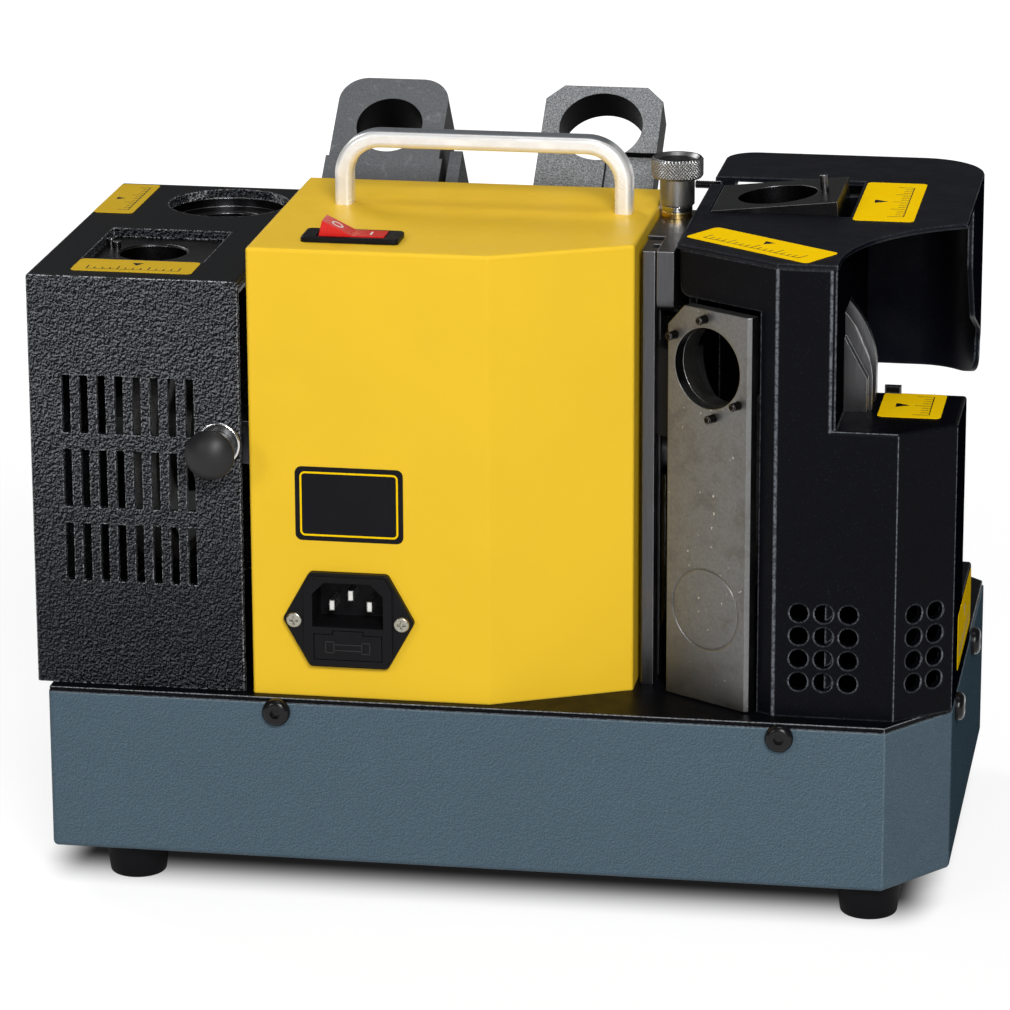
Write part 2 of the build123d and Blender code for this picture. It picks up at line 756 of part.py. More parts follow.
# Chuck holder under the square window
left_bore_x = window_x0 + LEFT_BORE_X
left_bore_y = window_y0 + LEFT_BORE_Y
left_holder_z0 = shaft_z + WHEEL_R + WHEEL_CLEAR
left_holder_h = cover_ceiling - left_holder_z0
left_pin_places = [(window_x0 + x, window_y0 + y, cover_ceiling) for x, y in LEFT_PIN_SPOTS]
with BuildPart() as left_holder_front:
    with Locations((window_x0 - HOLDER_RIM, window_y0 - HOLDER_RIM, left_holder_z0)):
        Box(WINDOW_W + 2 * HOLDER_RIM, WINDOW_D + 2 * HOLDER_RIM, left_holder_h, align=FROM_CORNER)
    with Locations((left_bore_x, left_bore_y, left_holder_z0)):
        Cylinder(LEFT_BORE_R, left_holder_h, align=FROM_BASE, mode=Mode.SUBTRACT)
    holder_top = left_holder_front.faces().sort_by(Axis.Z)[-1]
    chamfer(holder_top.edges().filter_by(GeomType.CIRCLE), BORE_CHAMFER)
    with Locations(*left_pin_places):
        Cylinder(LEFT_PIN_R + SCREW_FIT, 2 * PIN_DEPTH, mode=Mode.SUBTRACT)
write(left_holder_front, "left_holder_front")

# Chuck holder under the round port
with BuildPart() as left_holder_rear:
    with Locations((port_x, port_y, cover_ceiling - REAR_HOLDER_H)):
        Cylinder(PORT_R + REAR_HOLDER_RIM, REAR_HOLDER_H, align=FROM_BASE)
        Cylinder(REAR_BORE_R, REAR_HOLDER_H, align=FROM_BASE, mode=Mode.SUBTRACT)
    with Locations((port_x, port_y, cover_ceiling - PORT_SINK)):
        Cylinder(PORT_R, PORT_SINK, align=FROM_BASE, mode=Mode.SUBTRACT)
    bore_edges = left_holder_rear.edges().filter_by(GeomType.CIRCLE).group_by(SortBy.RADIUS)[0]
    chamfer(bore_edges.sort_by(Axis.Z)[-1], BORE_CHAMFER)
write(left_holder_rear, "left_holder_rear")

# Latch of the left wheel box: ring, mushroom knob with its tongue, and catch on the motor case
with BuildPart() as latch_ring:
    with Locations(along_front(latch_x, cover_y0, latch_z)):
        Cylinder(LATCH_RING_R, LATCH_RING_T, align=FROM_BASE)
        Cylinder(LATCH_STEM_R + LATCH_CLEAR, LATCH_RING_T, align=FROM_BASE, mode=Mode.SUBTRACT)
    fillet(latch_ring.faces().sort_by(Axis.Y)[0].edges().sort_by(SortBy.RADIUS)[-1], LATCH_RING_ROUND)
write(latch_ring, "latch_ring")

knob_back_y = cover_y0 - LATCH_RING_T - LATCH_CLEAR
catch_y0 = cover_y0 + COVER_WALL + TONGUE_GAP
tongue_y0 = catch_y0 + CATCH_T + TONGUE_GAP
tongue_y1 = tongue_y0 + TONGUE_T
with BuildPart() as latch_knob:
    with BuildSketch(Plane((latch_x, knob_back_y, latch_z), x_dir=(1, 0, 0), z_dir=(0, 0, 1))) as knob_half:
        with BuildLine():
            Polyline((0, -LATCH_KNOB_L), (0, 0), (LATCH_WAIST_R, 0), (LATCH_WAIST_R, -LATCH_WAIST_L))
            TangentArc((LATCH_WAIST_R, -LATCH_WAIST_L), (LATCH_KNOB_R, -LATCH_BRIM_L), tangent=(0, -1))
            TangentArc((0, -LATCH_KNOB_L), (LATCH_KNOB_R, -LATCH_BRIM_L), tangent=(1, 0))
        make_face()
        fillet(knob_half.vertices().sort_by(Axis.X)[-1], LATCH_KNOB_ROUND)
    revolve(axis=Axis((latch_x, 0, latch_z), (0, 1, 0)))
    with Locations(along_back(latch_x, knob_back_y, latch_z)):
        Cylinder(LATCH_STEM_R, tongue_y1 - knob_back_y, align=FROM_BASE)
    with BuildSketch(upright(tongue_y1)):
        with Locations((latch_x, latch_z)):
            SlotCenterPoint((TONGUE_L / 2 - TONGUE_W / 4, 0), (TONGUE_L - TONGUE_W / 2, 0), TONGUE_W)
    extrude(amount=TONGUE_T)
write(latch_knob, "latch_knob")

catch_x0 = latch_x + TONGUE_W / 2 + CATCH_CLEAR
with BuildPart() as latch_catch:
    with Locations((catch_x0, catch_y0, latch_z - CATCH_W / 2)):
        Box(case_x0 - catch_x0, CATCH_T, CATCH_W, align=FROM_CORNER)
    with Locations((case_x0 - CATCH_T, catch_y0, latch_z - CATCH_W / 2)):
        Box(CATCH_T, CATCH_FOOT, CATCH_W, align=FROM_CORNER)
write(latch_catch, "latch_catch")

# Yellow motor case: front, sides and top in one shell, with lugs for its rear panel
case_outline = [
    (case_x0, case_y0),
    (case_x0 + CASE_FLAT, case_y0),
    (case_x1, case_y0 + CASE_SLOPE),
    (case_x1, case_y1),
    (case_x0, case_y1),
]
panel_y0 = case_y1 - CASE_WALL
inlet_x = case_x0 + INLET_X
inlet_z = deck_z + INLET_Z
inlet_screw_xs = (inlet_x - INLET_SCREW_PITCH / 2, inlet_x + INLET_SCREW_PITCH / 2)
switch_x = case_x0 + SWITCH_X
switch_y = case_y0 + SWITCH_Y
handle_xs = (case_x0 + HANDLE_X, case_x1 - HANDLE_FROM_EDGE)
handle_y = case_y0 + HANDLE_Y
lug_xs = (case_x0 + CASE_WALL + PANEL_LUG / 2, case_x1 - CASE_WALL - PANEL_LUG / 2)
lug_zs = (deck_z + PANEL_LUG / 2, case_z1 - CASE_WALL - PANEL_LUG / 2)
lug_places = [(x, z) for x in lug_xs for z in lug_zs]

with BuildPart() as motor_case:
    with BuildSketch(level(deck_z)):
        Polygon(*case_outline, align=None)
    extrude(amount=CASE_H)
    case_top = motor_case.faces().sort_by(Axis.Z)[-1]
    fillet(motor_case.edges().filter_by(Axis.Z) + case_top.edges(), CASE_ROUND)
    with BuildSketch(level(deck_z)):
        Polygon(*case_outline, align=None)
        offset(amount=-CASE_WALL, kind=Kind.INTERSECTION, mode=Mode.REPLACE)
    extrude(amount=CASE_H - CASE_WALL, mode=Mode.SUBTRACT)
    with Locations((case_x0 + CASE_WALL, panel_y0 - CASE_WALL, deck_z)):
        Box(CASE_W - 2 * CASE_WALL, 3 * CASE_WALL, CASE_H - CASE_WALL, align=FROM_CORNER, mode=Mode.SUBTRACT)
    with Locations(*[(x, panel_y0 - PANEL_LUG_T / 2, z) for x, z in lug_places]):
        Box(PANEL_LUG, PANEL_LUG_T, PANEL_LUG)
    with Locations(*[along_back(x, panel_y0 - PANEL_LUG_T, z) for x, z in lug_places]):
        Cylinder(PANEL_SCREW_R + SCREW_FIT, PANEL_LUG_T, align=FROM_BASE, mode=Mode.SUBTRACT)
    with Locations(along_x(case_x0 + CASE_W / 2, shaft_y, shaft_z)):
        Cylinder(SHAFT_HOLE_R, 2 * CASE_W, mode=Mode.SUBTRACT)
    with BuildSketch(upright(case_y0)):
        with Locations((inlet_x, inlet_z)):
            Rectangle(INLET_BODY_W, INLET_BODY_H)
        with Locations(*[(x, inlet_z) for x in inlet_screw_xs]):
            Circle(INLET_SCREW_R + SCREW_FIT)
    extrude(amount=-CASE_WALL, mode=Mode.SUBTRACT)
    with BuildSketch(level(case_z1 - CASE_WALL)):
        with Locations((switch_x, switch_y)):
            Rectangle(SWITCH_BODY_L, SWITCH_BODY_W)
        with Locations(*[(x, handle_y) for x in handle_xs]):
            Circle(HANDLE_SCREW_R + SCREW_FIT)
    extrude(amount=CASE_WALL, mode=Mode.SUBTRACT)
write(motor_case, "motor_case")

# Rear panel of the motor case with its cooling slots
panel_w = CASE_W - 2 * CASE_WALL
panel_h = CASE_H - CASE_WALL
with BuildPart() as case_back_panel:
    with Locations((case_x0 + CASE_WALL, panel_y0, deck_z)):
        Box(panel_w, CASE_WALL, panel_h, align=FROM_CORNER)
    with BuildSketch(upright(case_y1)):
        with Locations((case_x0 + CASE_W / 2, shaft_z)):
            with GridLocations(PANEL_SLOT_PITCH, PANEL_SLOT_H, PANEL_SLOTS, 1):
                SlotOverall(PANEL_SLOT_H, PANEL_SLOT_W, rotation=90)
        with Locations(*lug_places):
            Circle(PANEL_SCREW_R + SCREW_FIT)
    extrude(amount=CASE_WALL, mode=Mode.SUBTRACT)
write(case_back_panel, "case_back_panel")

panel_screw = pan_screw(PANEL_HEAD_R, PANEL_HEAD_H, PANEL_SCREW_R, CASE_WALL + PANEL_LUG_T)
with BuildPart() as panel_screws:
    with Locations(*[along_back(x, case_y1, z) for x, z in lug_places]):
        add(panel_screw)
write(panel_screws, "panel_screws")

# Carry handle: one bent bar with rounded edges
with BuildPart() as carry_handle:
    with BuildLine() as handle_path:
        FilletPolyline(
            (handle_xs[0], handle_y, case_z1),
            (handle_xs[0], handle_y, case_z1 + HANDLE_RISE),
            (handle_xs[1], handle_y, case_z1 + HANDLE_RISE),
            (handle_xs[1], handle_y, case_z1),
            radius=HANDLE_BEND,
        )
    with BuildSketch(Plane((handle_xs[0], handle_y, case_z1))):
        RectangleRounded(HANDLE_BAR, HANDLE_DEPTH, HANDLE_ROUND)
    sweep(path=handle_path.line)
    with Locations(*[(x, handle_y, case_z1) for x in handle_xs]):
        Cylinder(HANDLE_SCREW_R + SCREW_FIT, HANDLE_SCREW_L, align=FROM_BASE, mode=Mode.SUBTRACT)
write(carry_handle, "carry_handle")

handle_screw = pan_screw(HANDLE_HEAD_R, HANDLE_HEAD_H, HANDLE_SCREW_R, CASE_WALL + HANDLE_SCREW_L)
with BuildPart() as handle_screws:
    with Locations(*[Location((x, handle_y, case_z1 - CASE_WALL), (180, 0, 0)) for x in handle_xs]):
        add(handle_screw)
write(handle_screws, "handle_screws")

# Rocker switch: bezel with its body, and the rocker on its pin
pivot_z = case_z1
rocker_sweep = sqrt(ROCKER_FOOT**2 + ROCKER_DROP**2)
cavity_l = SWITCH_BODY_L - 2 * SWITCH_WALL
cavity_w = SWITCH_BODY_W - 2 * SWITCH_WALL
with BuildPart() as switch_bezel:
    with BuildSketch(level(case_z1)):
        with Locations((switch_x, switch_y)):
            RectangleRounded(SWITCH_L, SWITCH_W, SWITCH_ROUND)
    extrude(amount=SWITCH_RIM_H)
    fillet(switch_bezel.faces().sort_by(Axis.Z)[-1].edges(), SWITCH_RIM_ROUND)
    with Locations((switch_x, switch_y, case_z1 - SWITCH_BODY_H)):
        Box(SWITCH_BODY_L, SWITCH_BODY_W, SWITCH_BODY_H, align=FROM_BASE)
    with Locations((switch_x, switch_y, pivot_z - rocker_sweep - ROCKER_GAP)):
        Box(cavity_l, cavity_w, SWITCH_BODY_H, align=FROM_BASE, mode=Mode.SUBTRACT)
    with Locations(along_back(switch_x, switch_y, pivot_z)):
        Cylinder(ROCKER_PIN_R + RUN_CLEAR, SWITCH_BODY_W, mode=Mode.SUBTRACT)
write(switch_bezel, "switch_bezel")

rocker_half = cavity_l / 2 - ROCKER_END_GAP
rocker_w = cavity_w - 2 * ROCKER_GAP
rocker_plane = Plane((switch_x, switch_y + rocker_w / 2, pivot_z), x_dir=(1, 0, 0), z_dir=(0, -1, 0))
with BuildPart() as switch_rocker:
    with BuildSketch(rocker_plane.rotated((0, ROCKER_TILT, 0))):
        Polygon(
            (-rocker_half, ROCKER_RISE),
            (0, ROCKER_RISE - ROCKER_HOLLOW),
            (rocker_half, ROCKER_RISE),
            (rocker_half, -ROCKER_LIP),
            (ROCKER_FOOT, -ROCKER_DROP),
            (-ROCKER_FOOT, -ROCKER_DROP),
            (-rocker_half, -ROCKER_LIP),
            align=None,
        )
    extrude(amount=rocker_w)
    with Locations(along_back(switch_x, switch_y, pivot_z)):
        Cylinder(ROCKER_PIN_R, SWITCH_BODY_W - 2 * ROCKER_GAP)
write(switch_rocker, "switch_rocker")

# Mains inlet: six-sided flange with a raised middle, moulded body, socket and drawer slot
flange_y = case_y0 - INLET_FLANGE_T
inlet_face_y = flange_y - INLET_BOSS_T
socket_z = inlet_z + SOCKET_LIFT
drawer_z = inlet_z - DRAWER_SINK
flange_outline = [
    (INLET_W / 2, 0),
    (INLET_TOP_W / 2, INLET_H / 2),
    (-INLET_TOP_W / 2, INLET_H / 2),
    (-INLET_W / 2, 0),
    (-INLET_TOP_W / 2, -INLET_H / 2),
    (INLET_TOP_W / 2, -INLET_H / 2),
]
drawer_room_w = DRAWER_W + 2 * DRAWER_GAP
drawer_room_h = DRAWER_H + 2 * DRAWER_GAP
tab_room = DRAWER_FACE_T + DRAWER_GAP
with BuildPart() as power_inlet:
    with BuildSketch(upright(case_y0)) as inlet_flange:
        with Locations((inlet_x, inlet_z)):
            Polygon(*flange_outline, align=None)
        fillet(inlet_flange.vertices(), INLET_ROUND)
    extrude(amount=INLET_FLANGE_T)
    fillet(power_inlet.faces().sort_by(Axis.Y)[0].edges(), INLET_EDGE)
    with BuildSketch(upright(flange_y)):
        with Locations((inlet_x, inlet_z)):
            Polygon(*flange_outline, align=None)
        offset(amount=-INLET_EDGE - INLET_BOSS_EDGE, kind=Kind.INTERSECTION, mode=Mode.REPLACE)
        with Locations((inlet_x, inlet_z)):
            Rectangle(INLET_BOSS_W, INLET_H, mode=Mode.INTERSECT)
    extrude(amount=INLET_BOSS_T)
    fillet(power_inlet.faces().sort_by(Axis.Y)[0].edges(), INLET_BOSS_EDGE)
    with Locations((inlet_x, case_y0, inlet_z)):
        Box(INLET_BODY_W, INLET_BODY_D, INLET_BODY_H, align=(Align.CENTER, Align.MIN, Align.CENTER))
    with BuildSketch(upright(inlet_face_y)):
        with Locations((inlet_x, socket_z)):
            Polygon(
                (-SOCKET_W / 2, -SOCKET_H / 2),
                (SOCKET_W / 2, -SOCKET_H / 2),
                (SOCKET_W / 2, SOCKET_H / 2 - SOCKET_CHAMFER),
                (SOCKET_W / 2 - SOCKET_CHAMFER, SOCKET_H / 2),
                (SOCKET_CHAMFER - SOCKET_W / 2, SOCKET_H / 2),
                (-SOCKET_W / 2, SOCKET_H / 2 - SOCKET_CHAMFER),
                align=None,
            )
    extrude(amount=-SOCKET_DEPTH - INLET_BOSS_T, mode=Mode.SUBTRACT)
    with Locations((inlet_x, inlet_face_y, drawer_z)):
        Box(drawer_room_w, DRAWER_L + DRAWER_GAP, drawer_room_h,
            align=(Align.CENTER, Align.MIN, Align.CENTER), mode=Mode.SUBTRACT)
    with Locations((inlet_x, inlet_face_y, drawer_z + DRAWER_H / 2)):
        Box(DRAWER_TAB_W + 2 * DRAWER_GAP, tab_room, DRAWER_TAB_H + DRAWER_GAP,
            align=(Align.CENTER, Align.MIN, Align.MIN), mode=Mode.SUBTRACT)
    with Locations(*[along_front(x, case_y0, inlet_z) for x in inlet_screw_xs]):
        Cylinder(INLET_SCREW_R + SCREW_FIT, INLET_FLANGE_T, align=FROM_BASE, mode=Mode.SUBTRACT)
write(power_inlet, "power_inlet")

socket_floor_y = flange_y + SOCKET_DEPTH
blade_places = [
    (inlet_x - BLADE_PITCH / 2, socket_floor_y, socket_z - EARTH_LIFT / 2),
    (inlet_x + BLADE_PITCH / 2, socket_floor_y, socket_z - EARTH_LIFT / 2),
    (inlet_x, socket_floor_y, socket_z + EARTH_LIFT / 2),
]
with BuildPart() as inlet_pins:
    with Locations(*blade_places):
        Box(BLADE_W, BLADE_L, BLADE_H, align=(Align.CENTER, Align.MAX, Align.CENTER))
write(inlet_pins, "inlet_pins")

inlet_screw = pan_screw(INLET_HEAD_R, INLET_HEAD_H, INLET_SCREW_R, INLET_SCREW_L)
with BuildPart() as inlet_screws:
    with Locations(*[along_front(x, flange_y, inlet_z) for x in inlet_screw_xs]):
        add(inlet_screw)
write(inlet_screws, "inlet_screws")

# Fuse drawer and the fuse that lies in it
with BuildPart() as fuse_drawer:
    with Locations((inlet_x, inlet_face_y, drawer_z)):
        Box(DRAWER_W, DRAWER_L, DRAWER_H, align=(Align.CENTER, Align.MIN, Align.CENTER))
    with Locations((inlet_x, inlet_face_y + DRAWER_FACE_T, drawer_z - DRAWER_H / 2 + DRAWER_WALL)):
        Box(DRAWER_W - 2 * DRAWER_WALL, DRAWER_L - DRAWER_FACE_T - DRAWER_WALL, DRAWER_H,
            align=(Align.CENTER, Align.MIN, Align.MIN), mode=Mode.SUBTRACT)
    with Locations((inlet_x, inlet_face_y, drawer_z + DRAWER_H / 2)):
        Box(DRAWER_TAB_W, DRAWER_FACE_T, DRAWER_TAB_H, align=(Align.CENTER, Align.MIN, Align.MIN))
write(fuse_drawer, "fuse_drawer")

with BuildPart() as fuse:
    fuse_y = inlet_face_y + DRAWER_FACE_T + (DRAWER_L - DRAWER_FACE_T - DRAWER_WALL) / 2
    with Locations(along_x(inlet_x - FUSE_L / 2, fuse_y, drawer_z - DRAWER_H / 2 + DRAWER_WALL + FUSE_R)):
        Cylinder(FUSE_R, FUSE_L, align=FROM_BASE)
write(fuse, "fuse")

# Motor frame, end bells and bearings
motor_x = case_x0 + CASE_W / 2
motor_l = CASE_W - 2 * (CASE_WALL + FAN_GAP + FAN_W + FAN_ROOM + BELL_T + BELL_HUB_L)
core_l = motor_l - 2 * (WINDING_L + WINDING_ROOM)
motor_x0 = motor_x - motor_l / 2
motor_x1 = motor_x + motor_l / 2
with BuildPart() as motor_frame:
    with Locations(along_x(motor_x0, shaft_y, shaft_z)):
        Cylinder(MOTOR_R, motor_l, align=FROM_BASE)
        Cylinder(MOTOR_R - FRAME_T, motor_l, align=FROM_BASE, mode=Mode.SUBTRACT)
write(motor_frame, "motor_frame")

bell_places = [Location((motor_x0, shaft_y, shaft_z), (0, -90, 0)), along_x(motor_x1, shaft_y, shaft_z)]
with BuildPart() as one_bell:
    Cylinder(MOTOR_R, BELL_T, align=FROM_BASE)
    fillet(one_bell.faces().sort_by(Axis.Z)[-1].edges(), BELL_ROUND)
    Cylinder(BELL_HUB_R, BELL_T + BELL_HUB_L, align=FROM_BASE)
    Cylinder(BEARING_R + SCREW_FIT, BEARING_SET_IN + BEARING_W, align=FROM_BASE, mode=Mode.SUBTRACT)
    Cylinder(BELL_LIP_R, BELL_T + BELL_HUB_L, align=FROM_BASE, mode=Mode.SUBTRACT)
with BuildPart() as motor_end_bells:
    with Locations(*bell_places):
        add(one_bell.part)
write(motor_end_bells, "motor_end_bells")

with BuildPart() as one_bearing:
    with Locations((0, 0, BEARING_SET_IN)):
        Cylinder(BEARING_R, BEARING_W, align=FROM_BASE)
        Cylinder(BEARING_SEAT_R + RUN_CLEAR, BEARING_W, align=FROM_BASE, mode=Mode.SUBTRACT)
    chamfer(one_bearing.edges().filter_by(GeomType.CIRCLE), BEARING_CHAMFER)
    with Locations((0, 0, BEARING_SET_IN), (0, 0, BEARING_SET_IN + BEARING_W - SHIELD_DEPTH)):
        Cylinder(BEARING_R - RACE_T, SHIELD_DEPTH, align=FROM_BASE, mode=Mode.SUBTRACT)
        Cylinder(BEARING_SEAT_R + RACE_T, SHIELD_DEPTH, align=FROM_BASE)
        Cylinder(BEARING_SEAT_R + RUN_CLEAR, SHIELD_DEPTH, align=FROM_BASE, mode=Mode.SUBTRACT)
with BuildPart() as ball_bearings:
    with Locations(*bell_places):
        add(one_bearing.part)
write(ball_bearings, "ball_bearings")

# Stator inside the frame
core_r = MOTOR_R - FRAME_T - SCREW_FIT
with BuildPart() as stator_core:
    with Locations(along_x(motor_x - core_l / 2, shaft_y, shaft_z)):
        Cylinder(core_r, core_l, align=FROM_BASE)
        Cylinder(CORE_BORE_R, core_l, align=FROM_BASE, mode=Mode.SUBTRACT)
write(stator_core, "stator_core")

with BuildPart() as one_winding:
    with Locations((0, 0, core_l / 2)):
        Cylinder(CORE_BORE_R + WINDING_EDGE + WINDING_T, WINDING_L, align=FROM_BASE)
        Cylinder(CORE_BORE_R + WINDING_EDGE, WINDING_L, align=FROM_BASE, mode=Mode.SUBTRACT)
    fillet(one_winding.faces().sort_by(Axis.Z)[-1].edges(), WINDING_ROUND)
with BuildPart() as stator_windings:
    with Locations(Location((motor_x, shaft_y, shaft_z), (0, -90, 0)), along_x(motor_x, shaft_y, shaft_z)):
        add(one_winding.part)
write(stator_windings, "stator_windings")

# Cradle that carries the motor on the deck
cradle_x0 = motor_x0 + CRADLE_INSET
cradle_l = motor_l - 2 * CRADLE_INSET
saddle_xs = (cradle_x0, cradle_x0 + cradle_l - CRADLE_T)
saddle_h = shaft_z - deck_z - sqrt(MOTOR_R**2 - CRADLE_W**2 / 4)
with BuildPart() as motor_cradle:
    with Locations((cradle_x0, shaft_y - CRADLE_W / 2, deck_z)):
        Box(cradle_l, CRADLE_W, CRADLE_BASE_T, align=FROM_CORNER)
    with Locations(*[(x, shaft_y - CRADLE_W / 2, deck_z) for x in saddle_xs]):
        Box(CRADLE_T, CRADLE_W, saddle_h, align=FROM_CORNER)
    with Locations(along_x(motor_x, shaft_y, shaft_z)):
        Cylinder(MOTOR_R + SCREW_FIT, motor_l, mode=Mode.SUBTRACT)
write(motor_cradle, "motor_cradle")

# Run capacitor lying in its clip
capacitor_x0 = inlet_x + INLET_BODY_W / 2 + CAPACITOR_GAP
capacitor_y = case_y0 + CASE_WALL + CAPACITOR_SETBACK + CAPACITOR_R
capacitor_z = deck_z + CLIP_T + SCREW_FIT + CAPACITOR_R
with BuildPart() as run_capacitor:
    with Locations(along_x(capacitor_x0, capacitor_y, capacitor_z)):
        Cylinder(CAPACITOR_R, CAPACITOR_L, align=FROM_BASE)
    fillet(run_capacitor.edges().filter_by(GeomType.CIRCLE), CAPACITOR_ROUND)
write(run_capacitor, "run_capacitor")

clip_bore = CAPACITOR_R + SCREW_FIT
with BuildPart() as capacitor_clip:
    with BuildSketch(endways(capacitor_x0 + (CAPACITOR_L - CLIP_W) / 2)):
        with Locations((capacitor_y, capacitor_z)):
            Circle(clip_bore + CLIP_T)
            with Locations((0, CLIP_T / 2 - clip_bore - CLIP_T)):
                Rectangle(2 * (clip_bore + CLIP_FOOT), CLIP_T)
            Circle(clip_bore, mode=Mode.SUBTRACT)
            with Locations((0, clip_bore)):
                Rectangle(2 * clip_bore * CLIP_MOUTH, clip_bore, mode=Mode.SUBTRACT)
    extrude(amount=CLIP_W)
write(capacitor_clip, "capacitor_clip")

# Shaft with its rotor and fan
left_wheel_x = cover_x0 + LEFT_WHEEL_X
shoulder_x0 = left_wheel_x + WHEEL_W / 2 + FLANGE_T
shoulder_x1 = right_wheel_x - WHEEL_W / 2 - FLANGE_T
rotor_seat_l = motor_l + 2 * BEARING_SET_IN - 2 * SHAFT_FLOAT
with BuildPart() as motor_shaft:
    with Locations(along_x(motor_x, shaft_y, shaft_z)):
        Cylinder(ROTOR_SEAT_R, rotor_seat_l)
    with Locations(along_x(shoulder_x0, shaft_y, shaft_z)):
        Cylinder(BEARING_SEAT_R, shoulder_x1 - shoulder_x0, align=FROM_BASE)
    with Locations(along_x(shoulder_x0 - seat_l, shaft_y, shaft_z)):
        Cylinder(WHEEL_SEAT_R, shoulder_x1 - shoulder_x0 + 2 * seat_l, align=FROM_BASE)
    with Locations(along_x(shoulder_x0 - seat_l - thread_l, shaft_y, shaft_z)):
        Cylinder(THREAD_R, shoulder_x1 - shoulder_x0 + 2 * (seat_l + thread_l), align=FROM_BASE)
    shaft_faces = motor_shaft.faces().sort_by(Axis.X)
    chamfer(shaft_faces[0].edges() + shaft_faces[-1].edges(), SHAFT_CHAMFER)
write(motor_shaft, "motor_shaft")

with BuildPart() as rotor:
    with Locations(along_x(motor_x - core_l / 2, shaft_y, shaft_z)):
        Cylinder(CORE_BORE_R - AIR_GAP, core_l, align=FROM_BASE)
        Cylinder(ROTOR_SEAT_R + SCREW_FIT, core_l, align=FROM_BASE, mode=Mode.SUBTRACT)
write(rotor, "rotor")

fan_x0 = case_x0 + CASE_WALL + FAN_GAP
blade_in = FAN_HUB_R - FAN_BLADE_T
blade_out = FAN_R - FAN_BLADE_EDGE
with BuildPart() as cooling_fan:
    with Locations(along_x(fan_x0, shaft_y, shaft_z)):
        Cylinder(FAN_R, FAN_PLATE_T, align=FROM_BASE)
        Cylinder(FAN_HUB_R, FAN_W, align=FROM_BASE)
    with BuildSketch(endways(fan_x0)):
        with Locations((shaft_y, shaft_z)):
            with PolarLocations((blade_in + blade_out) / 2, FAN_BLADES):
                Rectangle(blade_out - blade_in, FAN_BLADE_T)
    extrude(amount=FAN_W)
    with Locations(along_x(fan_x0, shaft_y, shaft_z)):
        Cylinder(BEARING_SEAT_R + SCREW_FIT, FAN_W, align=FROM_BASE, mode=Mode.SUBTRACT)
write(cooling_fan, "cooling_fan")

# Grinding wheels: hub, abrasive rim, flanges and nut at each end of the shaft
wheel_places = [along_x(left_wheel_x, shaft_y, shaft_z), along_x(right_wheel_x, shaft_y, shaft_z)]
hub_r = WHEEL_R - RIM_T
with BuildPart() as wheel_hubs:
    with Locations(*wheel_places):
        Cylinder(hub_r, WHEEL_W)
        Cylinder(WHEEL_SEAT_R + SCREW_FIT, WHEEL_W, mode=Mode.SUBTRACT)
write(wheel_hubs, "wheel_hubs")

with BuildPart() as wheel_rims:
    with Locations(*wheel_places):
        Cylinder(WHEEL_R, RIM_W)
        Cylinder(hub_r + SCREW_FIT, RIM_W, mode=Mode.SUBTRACT)
write(wheel_rims, "wheel_rims")

flange_off = (WHEEL_W + FLANGE_T) / 2
with BuildPart() as wheel_flanges:
    with Locations(*[along_x(x + side * flange_off, shaft_y, shaft_z)
                     for x in (left_wheel_x, right_wheel_x) for side in (-1, 1)]):
        Cylinder(FLANGE_R, FLANGE_T)
        Cylinder(WHEEL_SEAT_R + SCREW_FIT, FLANGE_T, mode=Mode.SUBTRACT)
write(wheel_flanges, "wheel_flanges")

with BuildPart() as one_nut:
    with BuildSketch(level(0)):
        RegularPolygon(NUT_AF / 2, 6, major_radius=False)
        Circle(THREAD_R + SCREW_FIT, mode=Mode.SUBTRACT)
    extrude(amount=NUT_H)
with BuildPart() as wheel_nuts:
    with Locations(along_x(shoulder_x0 - seat_l - NUT_H, shaft_y, shaft_z),
                   along_x(shoulder_x1 + seat_l, shaft_y, shaft_z)):
        add(one_nut.part)
write(wheel_nuts, "wheel_nuts")

# Fixed rail of the vertical slide, with its guide groove
groove_y = rail_y0 + RAIL_D / 2
with BuildPart() as slide_rail:
    with Locations((rail_x0, rail_y0, deck_z)):
        Box(RAIL_T, RAIL_D, rail_h, align=FROM_CORNER)
    chamfer(slide_rail.faces().sort_by(Axis.Y)[0].edges().filter_by(Axis.Z), RAIL_CHAMFER)
    with Locations((rail_x1 - RAIL_GROOVE_D, groove_y, deck_z)):
        Box(RAIL_GROOVE_D, RAIL_GROOVE_W, rail_h, align=FROM_SIDE, mode=Mode.SUBTRACT)
write(slide_rail, "slide_rail")

# Bracket at the top of the rail: a narrow neck and a wider head that carries the lead screw
bracket_head_x0 = case_x1 + BRACKET_WALL_GAP
bracket_neck_y1 = rail_y0 + BRACKET_NECK_D
with BuildPart() as screw_bracket:
    with BuildSketch(level(bracket_z0)):
        Polygon(
            (rail_x1, rail_y0),
            (bracket_x1, rail_y0),
            (bracket_x1, bracket_neck_y1 + BRACKET_HEAD_D),
            (bracket_head_x0, bracket_neck_y1 + BRACKET_HEAD_D),
            (bracket_head_x0, bracket_neck_y1),
            (rail_x1, bracket_neck_y1),
            align=None,
        )
    extrude(amount=BRACKET_H)
    fillet(screw_bracket.faces().sort_by(Axis.Y)[0].edges().sort_by(Axis.Z)[0], BRACKET_ROUND)
    with Locations((knob_x, knob_y, bracket_z0)):
        Cylinder(LEAD_R + LEAD_CLEAR, BRACKET_H, align=FROM_BASE, mode=Mode.SUBTRACT)
write(screw_bracket, "screw_bracket")

